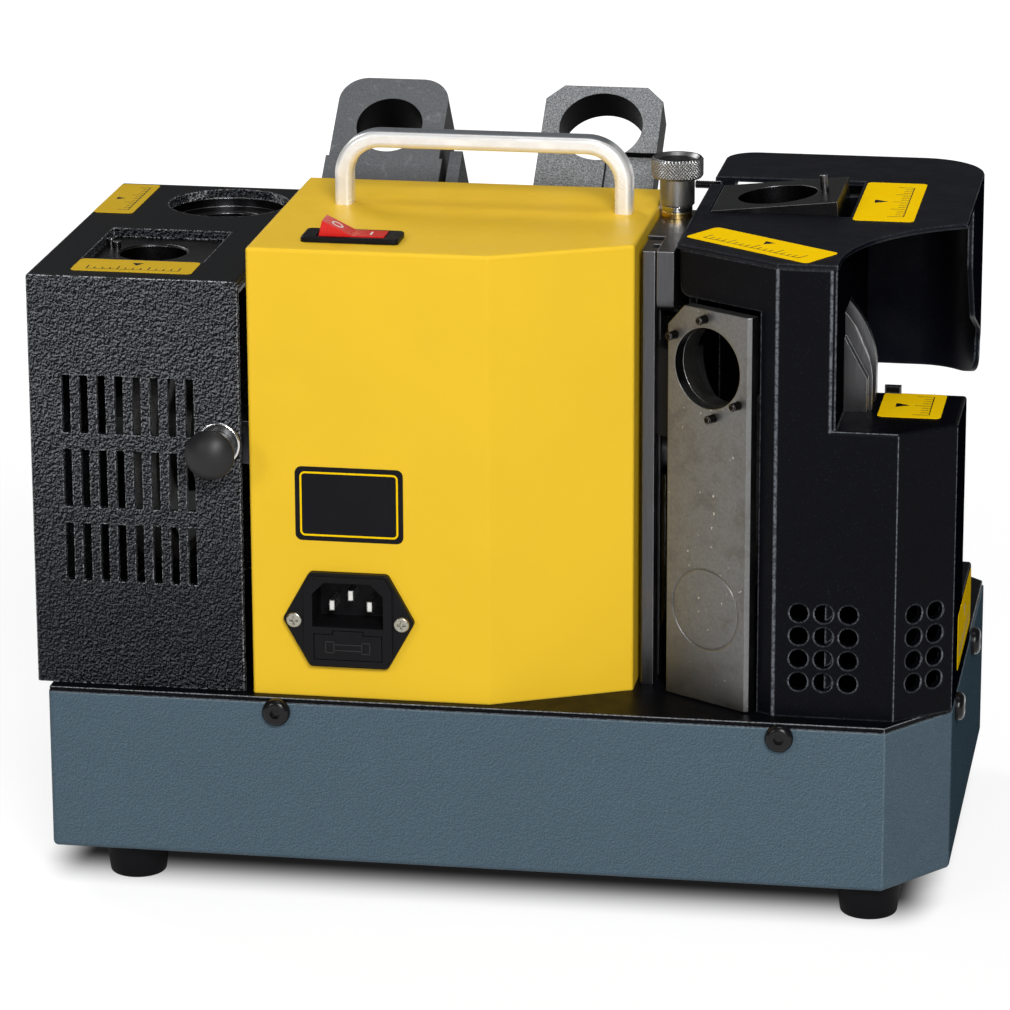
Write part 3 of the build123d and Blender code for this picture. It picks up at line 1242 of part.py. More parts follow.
# Washers, knurled knob and lead screw
washer_h = WASHER_BRASS_T + WASHER_STEEL_T
with BuildPart() as knob_washers:
    with Locations((knob_x, knob_y, rail_z1)):
        Cylinder(WASHER_R, WASHER_BRASS_T, align=FROM_BASE)
        Cylinder(LEAD_R + LEAD_CLEAR, WASHER_BRASS_T, align=FROM_BASE, mode=Mode.SUBTRACT)
write(knob_washers, "knob_washers")

with BuildPart() as lock_ring:
    with Locations((knob_x, knob_y, rail_z1 + WASHER_BRASS_T)):
        Cylinder(WASHER_R, WASHER_STEEL_T, align=FROM_BASE)
        Cylinder(LEAD_R + LEAD_CLEAR, WASHER_STEEL_T, align=FROM_BASE, mode=Mode.SUBTRACT)
write(lock_ring, "lock_ring")

knob_z0 = rail_z1 + washer_h + SLIDE_GAP
knob_z1 = knob_z0 + NECK_H + KNURL_H
dish_r = KNURL_R - KNURL_LIP
with BuildPart() as adjust_knob:
    with Locations((knob_x, knob_y, knob_z0)):
        Cylinder(NECK_R, NECK_H, align=FROM_BASE)
    with Locations((knob_x, knob_y, knob_z0 + NECK_H)):
        Cylinder(KNURL_R, KNURL_H, align=FROM_BASE)
    chamfer(adjust_knob.edges().filter_by(GeomType.CIRCLE).group_by(SortBy.RADIUS)[-1], KNURL_CHAMFER)
    with Locations((knob_x, knob_y, knob_z1 - KNURL_DISH)):
        Cone(dish_r - KNURL_DISH, dish_r, KNURL_DISH, align=FROM_BASE, mode=Mode.SUBTRACT)
    with Locations((knob_x, knob_y, knob_z0)):
        Cylinder(LEAD_R + SCREW_FIT, NECK_H, align=FROM_BASE, mode=Mode.SUBTRACT)
write(adjust_knob, "adjust_knob")

screw_z0 = nut_z0 - LEAD_STICKOUT
with BuildPart() as lead_screw:
    with Locations((knob_x, knob_y, screw_z0)):
        Cylinder(LEAD_R, knob_z0 + NECK_H - screw_z0, align=FROM_BASE)
    with Locations((knob_x, knob_y, collar_z0)):
        Cylinder(COLLAR_R, COLLAR_H, align=FROM_BASE)
    chamfer(lead_screw.faces().sort_by(Axis.Z)[0].edges(), LEAD_CHAMFER)
write(lead_screw, "lead_screw")

# Side plate on the slanted front of the right housing; u runs along it, w out of it
slant_c = cos(radians(SLANT))
slant_s = sin(radians(SLANT))
plate_right = HOUSE_FLAT_X / slant_c - PLATE_JAMB
slant_plane = Plane((house_x0, slant_y, deck_z), x_dir=(slant_c, -slant_s, 0), z_dir=(-slant_s, -slant_c, 0))
plate_plane = slant_plane.offset(PLATE_GAP)
plate_u0 = plate_right - PLATE_W
bore_u = plate_u0 + PLATE_BORE_U
plate_bore_place = plate_plane.location * Location((bore_u, plate_bore_z, 0))
pin_spots = [
    (bore_u + PLATE_PIN_RING * cos(radians(a)), plate_bore_z + PLATE_PIN_RING * sin(radians(a)))
    for a in PLATE_PIN_ANGLES
]


def beside_plate(u, w):
    """Level place of a point that lies u along the side plate and w in front of its back face."""
    spot = plate_plane.from_local_coords((u, 0, w))
    return (spot.X, spot.Y)


with BuildPart() as side_plate:
    with BuildSketch(plate_plane):
        Polygon(
            (plate_u0, PLATE_LIFT),
            (plate_right, PLATE_LIFT),
            (plate_right, PLATE_LIFT + plate_h),
            (plate_u0 + PLATE_CUT_U, PLATE_LIFT + plate_h),
            (plate_u0, PLATE_LIFT + plate_h - PLATE_CUT_Z),
            align=None,
        )
        with Locations((bore_u, plate_bore_z)):
            Circle(PLATE_BORE_R, mode=Mode.SUBTRACT)
        with Locations(*pin_spots):
            Circle(PLATE_PIN_R + SCREW_FIT, mode=Mode.SUBTRACT)
    extrude(amount=PLATE_T)
    chamfer(side_plate.edges().filter_by(Axis.Z).sort_by(Axis.Y)[0], PLATE_BEVEL)
    with BuildSketch(plate_plane.offset(PLATE_T)):
        with Locations((bore_u, PLATE_MARK_Z)):
            Circle(PLATE_MARK_R)
            Circle(PLATE_MARK_R - PLATE_MARK_W, mode=Mode.SUBTRACT)
    extrude(amount=-PLATE_MARK_DEPTH, mode=Mode.SUBTRACT)
write(side_plate, "side_plate")

with BuildPart() as plate_pins:
    with BuildSketch(plate_plane):
        with Locations(*pin_spots):
            Circle(PLATE_PIN_R)
    extrude(amount=PLATE_T + PLATE_PIN_RISE)
    pin_edges = plate_pins.edges().filter_by(GeomType.CIRCLE)
    chamfer(pin_edges.group_by(Axis(plate_plane.origin, plate_plane.z_dir))[-1], PLATE_PIN_CHAMFER)
write(plate_pins, "plate_pins")

# Chuck sleeve behind the bore of the side plate
with BuildPart() as chuck_sleeve:
    with BuildSketch(plate_plane):
        with Locations((bore_u, plate_bore_z)):
            Circle(SLEEVE_R)
            Circle(PLATE_BORE_R, mode=Mode.SUBTRACT)
    extrude(amount=-SLEEVE_L)
write(chuck_sleeve, "chuck_sleeve")

# Carriage: nut block on the lead screw, guide tongue in the rail, arm and saddle under the sleeve
arm_y0 = rail_y0 + ARM_SETBACK
nut_y0 = knob_y - NUT_BLOCK_D / 2
saddle_u0 = plate_u0 + SADDLE_EDGE
saddle_u1 = saddle_u0 + SADDLE_W
with BuildPart() as carriage:
    with Locations((arm_x0, arm_y0, nut_z0)):
        Box(ARM_T, nut_y0 - arm_y0, ARM_H, align=FROM_CORNER)
    with Locations((case_x1 + NUT_WALL_GAP, nut_y0, nut_z0)):
        Box(arm_x1 - case_x1 - NUT_WALL_GAP, NUT_BLOCK_D, ARM_H, align=FROM_CORNER)
    with Locations((arm_x0 - RAIL_GROOVE_D + TONGUE_ROOM, groove_y, nut_z0)):
        Box(RAIL_GROOVE_D - TONGUE_ROOM, RAIL_GROOVE_W - 2 * TONGUE_SIDE, ARM_H, align=FROM_SIDE)
    with BuildSketch(level(nut_z0)):
        Polygon(
            (arm_x0, arm_y0),
            beside_plate(saddle_u0, 0),
            beside_plate(saddle_u1, 0),
            beside_plate(saddle_u1, -SADDLE_DEPTH),
            (arm_x1, arm_y0 + BRIDGE_D),
            (arm_x0, arm_y0 + BRIDGE_D),
            align=None,
        )
    extrude(amount=ARM_H)
    with Locations(plate_bore_place):
        Cylinder(SLEEVE_R + SLEEVE_FIT, 4 * SLEEVE_L, mode=Mode.SUBTRACT)
    with Locations((knob_x, knob_y, nut_z0)):
        Cylinder(LEAD_R + LEAD_CLEAR, ARM_H, align=FROM_BASE, mode=Mode.SUBTRACT)
write(carriage, "carriage")

# Right wheel housing: tall bay, shelf box in front and low step behind it, all open below
bay_outline = [
    (house_x0, slant_y),
    (house_x0 + HOUSE_FLAT_X, house_y0),
    (bay_x1, house_y0),
    (bay_x1, bay_y1),
    (house_x0, bay_y1),
]


def shelf_outline(x0):
    """Outline of the shelf box from the level x0 to its right end, with its cut front corner."""
    return [
        (x0, house_y0),
        (house_x1 - HOUSE_CORNER_X, house_y0),
        (house_x1, house_y0 + HOUSE_CORNER_Y),
        (house_x1, shelf_y1),
        (x0, shelf_y1),
    ]


corner_l = sqrt(HOUSE_CORNER_X**2 + HOUSE_CORNER_Y**2)
corner_plane = Plane(
    (house_x1 - HOUSE_CORNER_X, house_y0, deck_z),
    x_dir=(HOUSE_CORNER_X, HOUSE_CORNER_Y, 0),
    z_dir=(HOUSE_CORNER_Y, -HOUSE_CORNER_X, 0),
)
hole_x = house_x0 + HOUSE_FLAT_X + HOLE_FROM_EDGE + (HOLE_COLUMNS - 1) * HOLE_PITCH_X / 2
hole_lift = HOLE_LIFT + (HOLE_ROWS - 1) * HOLE_PITCH_Z / 2
step_room_w = house_x1 - bay_x1 - HOUSE_WALL
rest_door_d = REST_D - REST_FACE_T + 2 * REST_FIT
rest_x0 = bay_x1 - HOUSE_WALL - REST_LAP
rest_x1 = bay_x1 + REST_W
rest_face_x1 = bay_x1 + REST_FACE_W
rest_y0 = house_y0 + REST_FRONT

with BuildPart() as shelf_box:
    with BuildSketch(level(deck_z)):
        Polygon(*shelf_outline(bay_x1 - HOUSE_LAP), align=None)
    extrude(amount=shelf_h)
    shelf_corners = shelf_box.edges().filter_by(Axis.Z).sort_by(Axis.X)[2:]
    fillet(shelf_corners + shelf_box.faces().sort_by(Axis.Z)[-1].edges(), HOUSE_EDGE)
with BuildPart() as step_box:
    with Locations((bay_x1 - HOUSE_LAP, shelf_y1 - HOUSE_LAP, deck_z)):
        Box(house_x1 - bay_x1 + HOUSE_LAP, STEP_D + HOUSE_LAP, STEP_H, align=FROM_CORNER)
    step_corners = step_box.edges().filter_by(Axis.Z).sort_by(Axis.X)[2:]
    fillet(step_corners + step_box.faces().sort_by(Axis.Z)[-1].edges(), HOUSE_EDGE)

with BuildPart() as right_housing:
    with BuildSketch(level(deck_z)):
        Polygon(*bay_outline, align=None)
    extrude(amount=house_h)
    fillet(right_housing.edges().filter_by(Axis.Z), HOUSE_ROUND)
    add(shelf_box.part)
    add(step_box.part)
    with Locations((bay_x1 + SHELF_TAB_X, shelf_y1 - SHELF_TAB_T, shelf_z)):
        Box(SHELF_TAB_W, SHELF_TAB_T, SHELF_TAB_H, align=FROM_CORNER)
    with BuildSketch(level(deck_z)):
        Polygon(*bay_outline, align=None)
        offset(amount=-HOUSE_WALL, kind=Kind.INTERSECTION, mode=Mode.REPLACE)
    extrude(amount=house_h, mode=Mode.SUBTRACT)
    with BuildSketch(level(deck_z)):
        Polygon(*shelf_outline(bay_x1 - HOUSE_WALL), align=None)
        offset(amount=-HOUSE_WALL, kind=Kind.INTERSECTION, mode=Mode.REPLACE)
    extrude(amount=shelf_h - HOUSE_WALL, mode=Mode.SUBTRACT)
    with Locations((bay_x1, shelf_y1 - HOUSE_WALL, deck_z)):
        Box(step_room_w, STEP_D, STEP_H - HOUSE_WALL, align=FROM_CORNER, mode=Mode.SUBTRACT)
    with BuildSketch(upright(house_y0)):
        with Locations((hole_x, deck_z + hole_lift)):
            with GridLocations(HOLE_PITCH_X, HOLE_PITCH_Z, HOLE_COLUMNS, HOLE_ROWS):
                Circle(HOLE_R)
    extrude(amount=-HOUSE_WALL, mode=Mode.SUBTRACT)
    with BuildSketch(corner_plane):
        with Locations((corner_l / 2, hole_lift)):
            with GridLocations(HOLE_PITCH_X, HOLE_PITCH_Z, CORNER_COLUMNS, HOLE_ROWS):
                Circle(HOLE_R)
    extrude(amount=-HOUSE_WALL, mode=Mode.SUBTRACT)
    with BuildSketch(slant_plane):
        with Locations((-HOUSE_WALL, 0)):
            Rectangle(plate_right + WINDOW_EDGE + HOUSE_WALL, flap_lift, align=LOW_LEFT)
        with Locations((-HOUSE_WALL, flap_lift)):
            Rectangle(HOUSE_WALL + FLAP_ROUND, FLAP_ROUND, align=LOW_LEFT)
        with Locations((FLAP_ROUND, flap_lift + FLAP_ROUND)):
            Circle(FLAP_ROUND, mode=Mode.SUBTRACT)
    extrude(amount=-HOUSE_WALL - HOUSE_ROUND, mode=Mode.SUBTRACT)
    with Locations((house_x0, slant_y, deck_z)):
        Box(HOUSE_WALL, LEFT_CUT_D, flap_lift, align=FROM_CORNER, mode=Mode.SUBTRACT)
    with Locations(along_x(house_x0, shaft_y, shaft_z)):
        Cylinder(SHAFT_HOLE_R, HOUSE_WALL, align=FROM_BASE, mode=Mode.SUBTRACT)
    with Locations((bay_x1 - HOUSE_WALL, rest_y0 + REST_FACE_T - REST_FIT, shelf_z)):
        Box(HOUSE_WALL, rest_door_d, REST_H + REST_FIT, align=FROM_CORNER, mode=Mode.SUBTRACT)
write(right_housing, "right_housing")

# End mill rest on the shelf: a front cheek and a trough that leads through the bay wall
trough_y = rest_y0 + REST_FACE_T + REST_TROUGH_R
trough_x = rest_x1 + REST_TROUGH_GAP
trough_place = Location((trough_x, trough_y, shelf_z + REST_STRAIGHT), (0, REST_TROUGH_LEAN, 0))
with BuildPart() as end_mill_rest:
    with BuildSketch(upright(rest_y0 + REST_D)):
        with BuildLine():
            Polyline(
                (bay_x1, shelf_z + REST_H),
                (rest_x0, shelf_z + REST_H),
                (rest_x0, shelf_z),
                (rest_x1, shelf_z),
                (rest_x1, shelf_z + REST_STRAIGHT),
            )
            RadiusArc((rest_x1, shelf_z + REST_STRAIGHT), (bay_x1, shelf_z + REST_H), -REST_ARC_R)
        make_face()
    extrude(amount=REST_D - REST_FACE_T)
    with BuildSketch(upright(rest_y0 + REST_FACE_T)):
        Polygon(
            (bay_x1, shelf_z),
            (rest_face_x1, shelf_z),
            (rest_face_x1, shelf_z + REST_STRAIGHT),
            (bay_x1 + REST_FACE_TOP_W, shelf_z + REST_STRAIGHT + REST_FACE_CUT_Z),
            (bay_x1, shelf_z + REST_STRAIGHT + REST_FACE_CUT_Z),
            align=None,
        )
    extrude(amount=REST_FACE_T)
    with Locations(trough_place):
        Cylinder(REST_TROUGH_R, 2 * REST_H, mode=Mode.SUBTRACT)
write(end_mill_rest, "end_mill_rest")

# Sheet hood over the right housing: flat top, skirt round the back right, lug for the stop screw
hood_x0 = house_x0 - HOOD_LEFT_LAP
hood_x1 = house_x1 - HOOD_RIGHT_INSET
hood_y1 = base_y1 - HOOD_BACK_INSET
arc_x = bay_x1 + HOOD_ARC_R
arc_y = house_y0 + HOOD_ARC_START
arc_run = sqrt(HOOD_ARC_R**2 - (arc_x - hood_x1) ** 2)
skirt_y0 = arc_y + arc_run + HOOD_SKIRT_BACK
skirt_z0 = house_z1 - HOOD_SKIRT_H
sweep_y1 = skirt_y0 + HOOD_SWEEP_BACK
band_x = hood_x1 - HOOD_T / 2
band_y = hood_y1 - HOOD_T / 2
pocket_x0 = house_x0 + TOP_LEFT - POCKET_EDGE
pocket_x1 = bay_x1 - HOUSE_WALL
holder_y0 = bay_y1 - HOUSE_WALL - TOP_D
pocket_d = POCKET_EDGE + TOP_D + HOUSE_WALL
stop_y = bay_y1 + HOOD_SLOT_D + STOP_LUG / 2
stop_z = house_z1 - STOP_Z_DROP
with BuildPart() as right_hood:
    with BuildSketch(level(skirt_z0)):
        with BuildLine():
            FilletPolyline(
                (band_x, skirt_y0),
                (band_x, band_y),
                (hood_x1 - HOOD_SKIRT_W, band_y),
                radius=HOOD_CORNER_R - HOOD_T / 2,
            )
        trace(line_width=HOOD_T)
    extrude(amount=HOOD_SKIRT_H)
    with BuildSketch(endways(hood_x1 - HOOD_CORNER_R)) as sweep_cut:
        Polygon(
            (skirt_y0 - HOOD_T, skirt_z0),
            (sweep_y1, skirt_z0),
            (sweep_y1, house_z1 - HOOD_SWEEP_LOW),
            (skirt_y0 + HOOD_KNEE_BACK, house_z1 - HOOD_KNEE_LOW),
            (skirt_y0, house_z1 - HOOD_SWEEP_TOP),
            (skirt_y0, house_z1 - HOOD_T),
            (skirt_y0 - HOOD_T, house_z1 - HOOD_T),
            align=None,
        )
        fillet(sweep_cut.vertices().sort_by(Axis.Y)[2:5], HOOD_SWEEP_R)
        with Locations((sweep_y1, skirt_z0)):
            Rectangle(HOOD_FOOT_R, HOOD_FOOT_R, align=LOW_LEFT)
        with Locations((sweep_y1 + HOOD_FOOT_R, skirt_z0 + HOOD_FOOT_R)):
            Circle(HOOD_FOOT_R, mode=Mode.SUBTRACT)
    extrude(amount=HOOD_CORNER_R, mode=Mode.SUBTRACT)
    with BuildSketch(level(house_z1)):
        with BuildLine():
            Polyline(
                (hood_x0, slant_y + HOOD_LEFT_LAP * slant_s / slant_c),
                (house_x0 + HOUSE_FLAT_X, house_y0),
                (bay_x1, house_y0),
                (bay_x1, arc_y),
            )
            RadiusArc((bay_x1, arc_y), (hood_x1, arc_y + arc_run), HOOD_ARC_R)
            FilletPolyline(
                (hood_x1, arc_y + arc_run),
                (hood_x1, hood_y1),
                (hood_x0, hood_y1),
                (hood_x0, slant_y + HOOD_LEFT_LAP * slant_s / slant_c),
                radius=(HOOD_CORNER_R, HOOD_LEFT_R),
            )
        make_face()
        with Locations((pocket_x0, holder_y0 - POCKET_EDGE)):
            Rectangle(pocket_x1 - pocket_x0, pocket_d, align=LOW_LEFT, mode=Mode.SUBTRACT)
        with Locations((hood_x0, bay_y1)):
            Rectangle(pocket_x1 - hood_x0, HOOD_SLOT_D, align=LOW_LEFT, mode=Mode.SUBTRACT)
    extrude(amount=HOOD_T)
    hood_rim = right_hood.faces().sort_by(Axis.Z)[-1].edges().sort_by(Axis.X)
    fillet(hood_rim.filter_by(lambda e: (e @ 0.5).X > hood_x1 - HOOD_CORNER_R), HOOD_EDGE)
    with Locations((house_x0 + STOP_LUG_X, stop_y, house_z1 - STOP_LUG_H)):
        Box(STOP_LUG, STOP_LUG, STOP_LUG_H, align=FROM_BASE)
    with Locations(along_x(house_x0 + STOP_LUG_X, stop_y, stop_z)):
        Cylinder(STOP_R + SCREW_FIT, 2 * STOP_LUG, mode=Mode.SUBTRACT)
write(right_hood, "right_hood")

with BuildPart() as stop_screw:
    with Locations(along_x(house_x0 + STOP_LUG_X + STOP_LUG / 2 - STOP_L, stop_y, stop_z)):
        Cylinder(STOP_R, STOP_L, align=FROM_BASE)
    chamfer(stop_screw.edges().filter_by(GeomType.CIRCLE), STOP_CHAMFER)
write(stop_screw, "stop_screw")

# Tilted chuck holder in the top of the right housing
tilt_c = cos(radians(TOP_TILT))
tilt_s = sin(radians(TOP_TILT))
top_corner = (house_x0 + TOP_LEFT, holder_y0, hood_z1 + TOP_RISE)
top_plane = Plane(top_corner, x_dir=(tilt_c, 0, tilt_s), z_dir=(-tilt_s, 0, tilt_c))
with BuildPart() as top_holder:
    with BuildSketch(top_plane):
        Rectangle(TOP_W, TOP_D, align=LOW_LEFT)
        with Locations((TOP_BORE_U, TOP_BORE_V)):
            Circle(TOP_BORE_R, mode=Mode.SUBTRACT)
    extrude(amount=-TOP_T)
    with BuildSketch(top_plane):
        with Locations((TOP_PIN_U, TOP_PIN_V)):
            Circle(TOP_PIN_R + SCREW_FIT)
    extrude(amount=-PIN_DEPTH, mode=Mode.SUBTRACT)
write(top_holder, "top_holder")

# Locating pins of the three chuck holders
with BuildPart() as locating_pins:
    with Locations(*[(x, y, z - PIN_DEPTH) for x, y, z in left_pin_places]):
        Cylinder(LEFT_PIN_R, PIN_DEPTH + LEFT_PIN_RISE, align=FROM_BASE)
    with Locations(top_plane.location * Location((TOP_PIN_U, TOP_PIN_V, -PIN_DEPTH))):
        Cylinder(TOP_PIN_R, PIN_DEPTH + TOP_PIN_RISE, align=FROM_BASE)
write(locating_pins, "locating_pins")

# Leaning setting blocks; v runs up the face and w goes in behind it
lean_c = cos(radians(LEAN))
lean_s = sin(radians(LEAN))
left_setting_x = case_x0 + LEFT_SETTING_X
right_setting_x = case_x1 - RIGHT_SETTING_FROM_EDGE


def setting_plane(x, z):
    """Plane of a setting block's face, centred on a bore at place x and height z."""
    return Plane((x, setting_y, z), x_dir=(1, 0, 0), z_dir=(0, -lean_c, lean_s))


def behind_face(z, v, w):
    """Depth and height of a point v up a leaning face and w in behind it, with its bore at height z."""
    return (setting_y + v * lean_s + w * lean_c, z + v * lean_c - w * lean_s)


def post_outline(z, thickness):
    """Side view of the post of a setting block: its bore is at height z, and it has this thickness."""
    stop_w = thickness + POST_REACH
    return [
        (setting_y - POST_FRONT, deck_z),
        (setting_y - POST_FRONT + POST_D, deck_z),
        (setting_y - POST_FRONT + POST_D, behind_face(z, -SETTING_FOOT, stop_w)[1] - POST_HEEL),
        behind_face(z, -SETTING_FOOT, stop_w),
        behind_face(z, POST_SEAT - SETTING_FOOT, stop_w),
        behind_face(z, POST_SEAT - SETTING_FOOT, thickness),
        behind_face(z, -SETTING_FOOT, thickness),
        (setting_y - POST_FRONT, behind_face(z, -SETTING_FOOT, thickness)[1] - POST_TOE),
    ]


left_setting_plane = setting_plane(left_setting_x, left_setting_z)
right_setting_plane = setting_plane(right_setting_x, right_setting_z)
shoulder_half = LEFT_SETTING_W / 2 + SETTING_SHOULDER_W
with BuildPart() as setting_block_left:
    with BuildSketch(left_setting_plane) as left_face:
        with Locations((0, -SETTING_FOOT)):
            Rectangle(LEFT_SETTING_W, SETTING_FOOT + LEFT_SETTING_TOP, align=(Align.CENTER, Align.MIN))
        fillet(left_face.vertices().group_by(Axis.Y)[-1], LEFT_SETTING_ROUND)
        with Locations((0, -SETTING_FOOT)):
            Rectangle(2 * shoulder_half, SETTING_FOOT - SETTING_SHOULDER, align=(Align.CENTER, Align.MIN))
        Circle(LEFT_SETTING_BORE_R, mode=Mode.SUBTRACT)
    extrude(amount=-LEFT_SETTING_T)
write(setting_block_left, "setting_block_left")

with BuildPart() as setting_block_right:
    with BuildSketch(right_setting_plane) as right_face:
        with Locations((0, -SETTING_FOOT)):
            Rectangle(RIGHT_SETTING_W, SETTING_FOOT + RIGHT_SETTING_TOP, align=(Align.CENTER, Align.MIN))
        chamfer(right_face.vertices().group_by(Axis.Y)[-1], RIGHT_SETTING_CUT)
        Circle(RIGHT_SETTING_BORE_R, mode=Mode.SUBTRACT)
    extrude(amount=-RIGHT_SETTING_T)
    with BuildSketch(right_setting_plane):
        with Locations((RIGHT_RECESS_X, -SETTING_FOOT)):
            Rectangle(RIGHT_SETTING_W, RIGHT_RECESS_H, align=LOW_LEFT)
    extrude(amount=-RIGHT_RECESS_DEPTH, mode=Mode.SUBTRACT)
write(setting_block_right, "setting_block_right")

# Posts; the left one has an ear that stands beside its block
left_post_x0 = left_setting_x - POST_W / 2
left_post_x1 = left_setting_x + POST_W / 2 + LEFT_POST_EXTRA
ear_x0 = left_setting_x + shoulder_half + EAR_GAP
ear_foot = -SETTING_FOOT
ear_back = LEFT_SETTING_T + EAR_LAP
with BuildPart() as setting_post_left:
    with BuildSketch(endways(left_post_x0)):
        Polygon(*post_outline(left_setting_z, LEFT_SETTING_T), align=None)
    extrude(amount=left_post_x1 - left_post_x0)
    with BuildSketch(endways(ear_x0)):
        Polygon(
            behind_face(left_setting_z, ear_foot, EAR_SETBACK),
            behind_face(left_setting_z, ear_foot, ear_back),
            behind_face(left_setting_z, ear_foot + EAR_H, ear_back),
            behind_face(left_setting_z, ear_foot + EAR_H, EAR_SETBACK),
            align=None,
        )
    extrude(amount=left_post_x1 - ear_x0)
    with Locations(left_setting_plane.location * Location((0, STOP_SCREW_RISE - SETTING_FOOT, 0))):
        Cylinder(STOP_SCREW_R + SCREW_FIT, 2 * (LEFT_SETTING_T + POST_REACH), mode=Mode.SUBTRACT)
write(setting_post_left, "setting_post_left")

with BuildPart() as setting_post_right:
    with BuildSketch(endways(right_setting_x - POST_W / 2)):
        Polygon(*post_outline(right_setting_z, RIGHT_SETTING_T), align=None)
    extrude(amount=POST_W)
    with Locations(right_setting_plane.location * Location((0, STOP_SCREW_RISE - SETTING_FOOT, 0))):
        Cylinder(STOP_SCREW_R + SCREW_FIT, 2 * (RIGHT_SETTING_T + POST_REACH), mode=Mode.SUBTRACT)
write(setting_post_right, "setting_post_right")

# Tip stops behind the two bores, and their screws
stop_places = [
    (left_setting_plane, LEFT_SETTING_T + POST_REACH),
    (right_setting_plane, RIGHT_SETTING_T + POST_REACH),
]
with BuildPart() as tip_stops:
    for face, w in stop_places:
        with BuildSketch(face.offset(-w)):
            with Locations((0, -SETTING_FOOT)):
                Rectangle(STOP_PLATE_W, SETTING_FOOT + STOP_PLATE_RISE, align=(Align.CENTER, Align.MIN))
            with Locations((0, STOP_SCREW_RISE - SETTING_FOOT)):
                Circle(STOP_SCREW_R + SCREW_FIT, mode=Mode.SUBTRACT)
        extrude(amount=-STOP_PLATE_T)
write(tip_stops, "tip_stops")

stop_plate_screw = pan_screw(STOP_HEAD_R, STOP_HEAD_H, STOP_SCREW_R, STOP_SCREW_L)
with BuildPart() as tip_stop_screws:
    for face, w in stop_places:
        seat = Location((0, STOP_SCREW_RISE - SETTING_FOOT, -w - STOP_PLATE_T), (180, 0, 0))
        with Locations(face.location * seat):
            add(stop_plate_screw)
write(tip_stop_screws, "tip_stop_screws")
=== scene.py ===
"""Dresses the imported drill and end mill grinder: finishes, fine pieces, studio and camera."""
import logging
from dataclasses import dataclass
from enum import Enum
from functools import lru_cache, reduce
from math import cos, pi, radians, sin
from typing import Optional, Sequence, Union

import bmesh
import bpy
import numpy as np
from mathutils import Matrix, Vector


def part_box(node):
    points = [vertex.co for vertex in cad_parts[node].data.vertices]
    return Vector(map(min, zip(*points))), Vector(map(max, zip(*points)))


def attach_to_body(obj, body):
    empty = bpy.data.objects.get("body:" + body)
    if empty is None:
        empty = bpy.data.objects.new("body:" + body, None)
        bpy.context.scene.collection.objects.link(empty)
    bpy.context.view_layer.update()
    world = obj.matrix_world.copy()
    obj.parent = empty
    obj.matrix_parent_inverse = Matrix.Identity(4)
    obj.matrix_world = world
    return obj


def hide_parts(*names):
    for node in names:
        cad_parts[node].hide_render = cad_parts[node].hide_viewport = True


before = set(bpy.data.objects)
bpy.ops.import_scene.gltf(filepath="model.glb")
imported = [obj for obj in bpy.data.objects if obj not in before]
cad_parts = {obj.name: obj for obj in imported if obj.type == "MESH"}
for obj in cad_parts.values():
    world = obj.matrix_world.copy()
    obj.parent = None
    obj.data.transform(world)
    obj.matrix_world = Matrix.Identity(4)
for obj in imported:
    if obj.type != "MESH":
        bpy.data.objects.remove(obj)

LOG = logging.getLogger("grinder")
MM = 0.001
Colour = tuple[float, float, float]
Way = tuple[float, float, float]
Pair = tuple[float, float]
Rect = tuple[float, float, float, float]
Socket = bpy.types.NodeSocket
Level = Union[float, Socket]

ACROSS, BACK, UP, LEFT = (1, 0, 0), (0, 1, 0), (0, 0, 1), (-1, 0, 0)
# The range in which most of a noise lies.
NOISE_MIDDLE = (0.3, 0.7)
# The range in which a cloudy noise turns from clear to full.
CLOUD_SPAN = (0.45, 0.75)
# Detail and roughness of a noise that stands for a painted grain.
GRAIN_NOISE = (1.5, 0.5)
# Where the painted light on a grain comes from: sides that face it are painted lighter, the others darker.
PAINTED_LIGHT_WAY = (-0.56, -0.20, 0.80)
# Cosine of the turn at which an edge begins to show, and at which it shows in full.
EDGE_TURN = (0.997, 0.90)
# Upward share of an edge's rounding from which its level part fades, and where it has faded.
EDGE_TILT = (0.15, 0.5)
# Cosines at which a rounded corner begins to look one way, and does so in full.
RIDGE_TURN = (0.974, 0.998)
BEVEL_SAMPLES = 6
# Radians by which the band pattern turns in one unit of length.
BAND_RATE = 20.0
# Share of a patch's reach within which it is whole.
PATCH_CORE = 0.25
# Places of the colour mixer's share, its two colours and its result.
MIX_SHARE, MIX_FIRST, MIX_SECOND, MIX_RESULT = 0, 6, 7, 2
# Distance at which two points of a mesh are one, width of a sliver, and angle of a sharp edge in degrees.
MERGE, SLIVER, SHARP = 2e-7, 1e-8, 32.0


class Body(Enum):
    """The bodies of the machine that new pieces ride on."""

    MACHINE = "machine"
    ADJUSTER = "adjuster"
    ROCKER = "rocker"
    DRAWER = "drawer"


class Grain(Enum):
    """How the lines of a machined face run, as stretch factors along X, Y and Z."""

    ROUND = (1.0, 1.0, 1.0)
    ALONG_X = (0.04, 1.0, 1.0)
    UPRIGHT = (1.0, 1.0, 0.04)


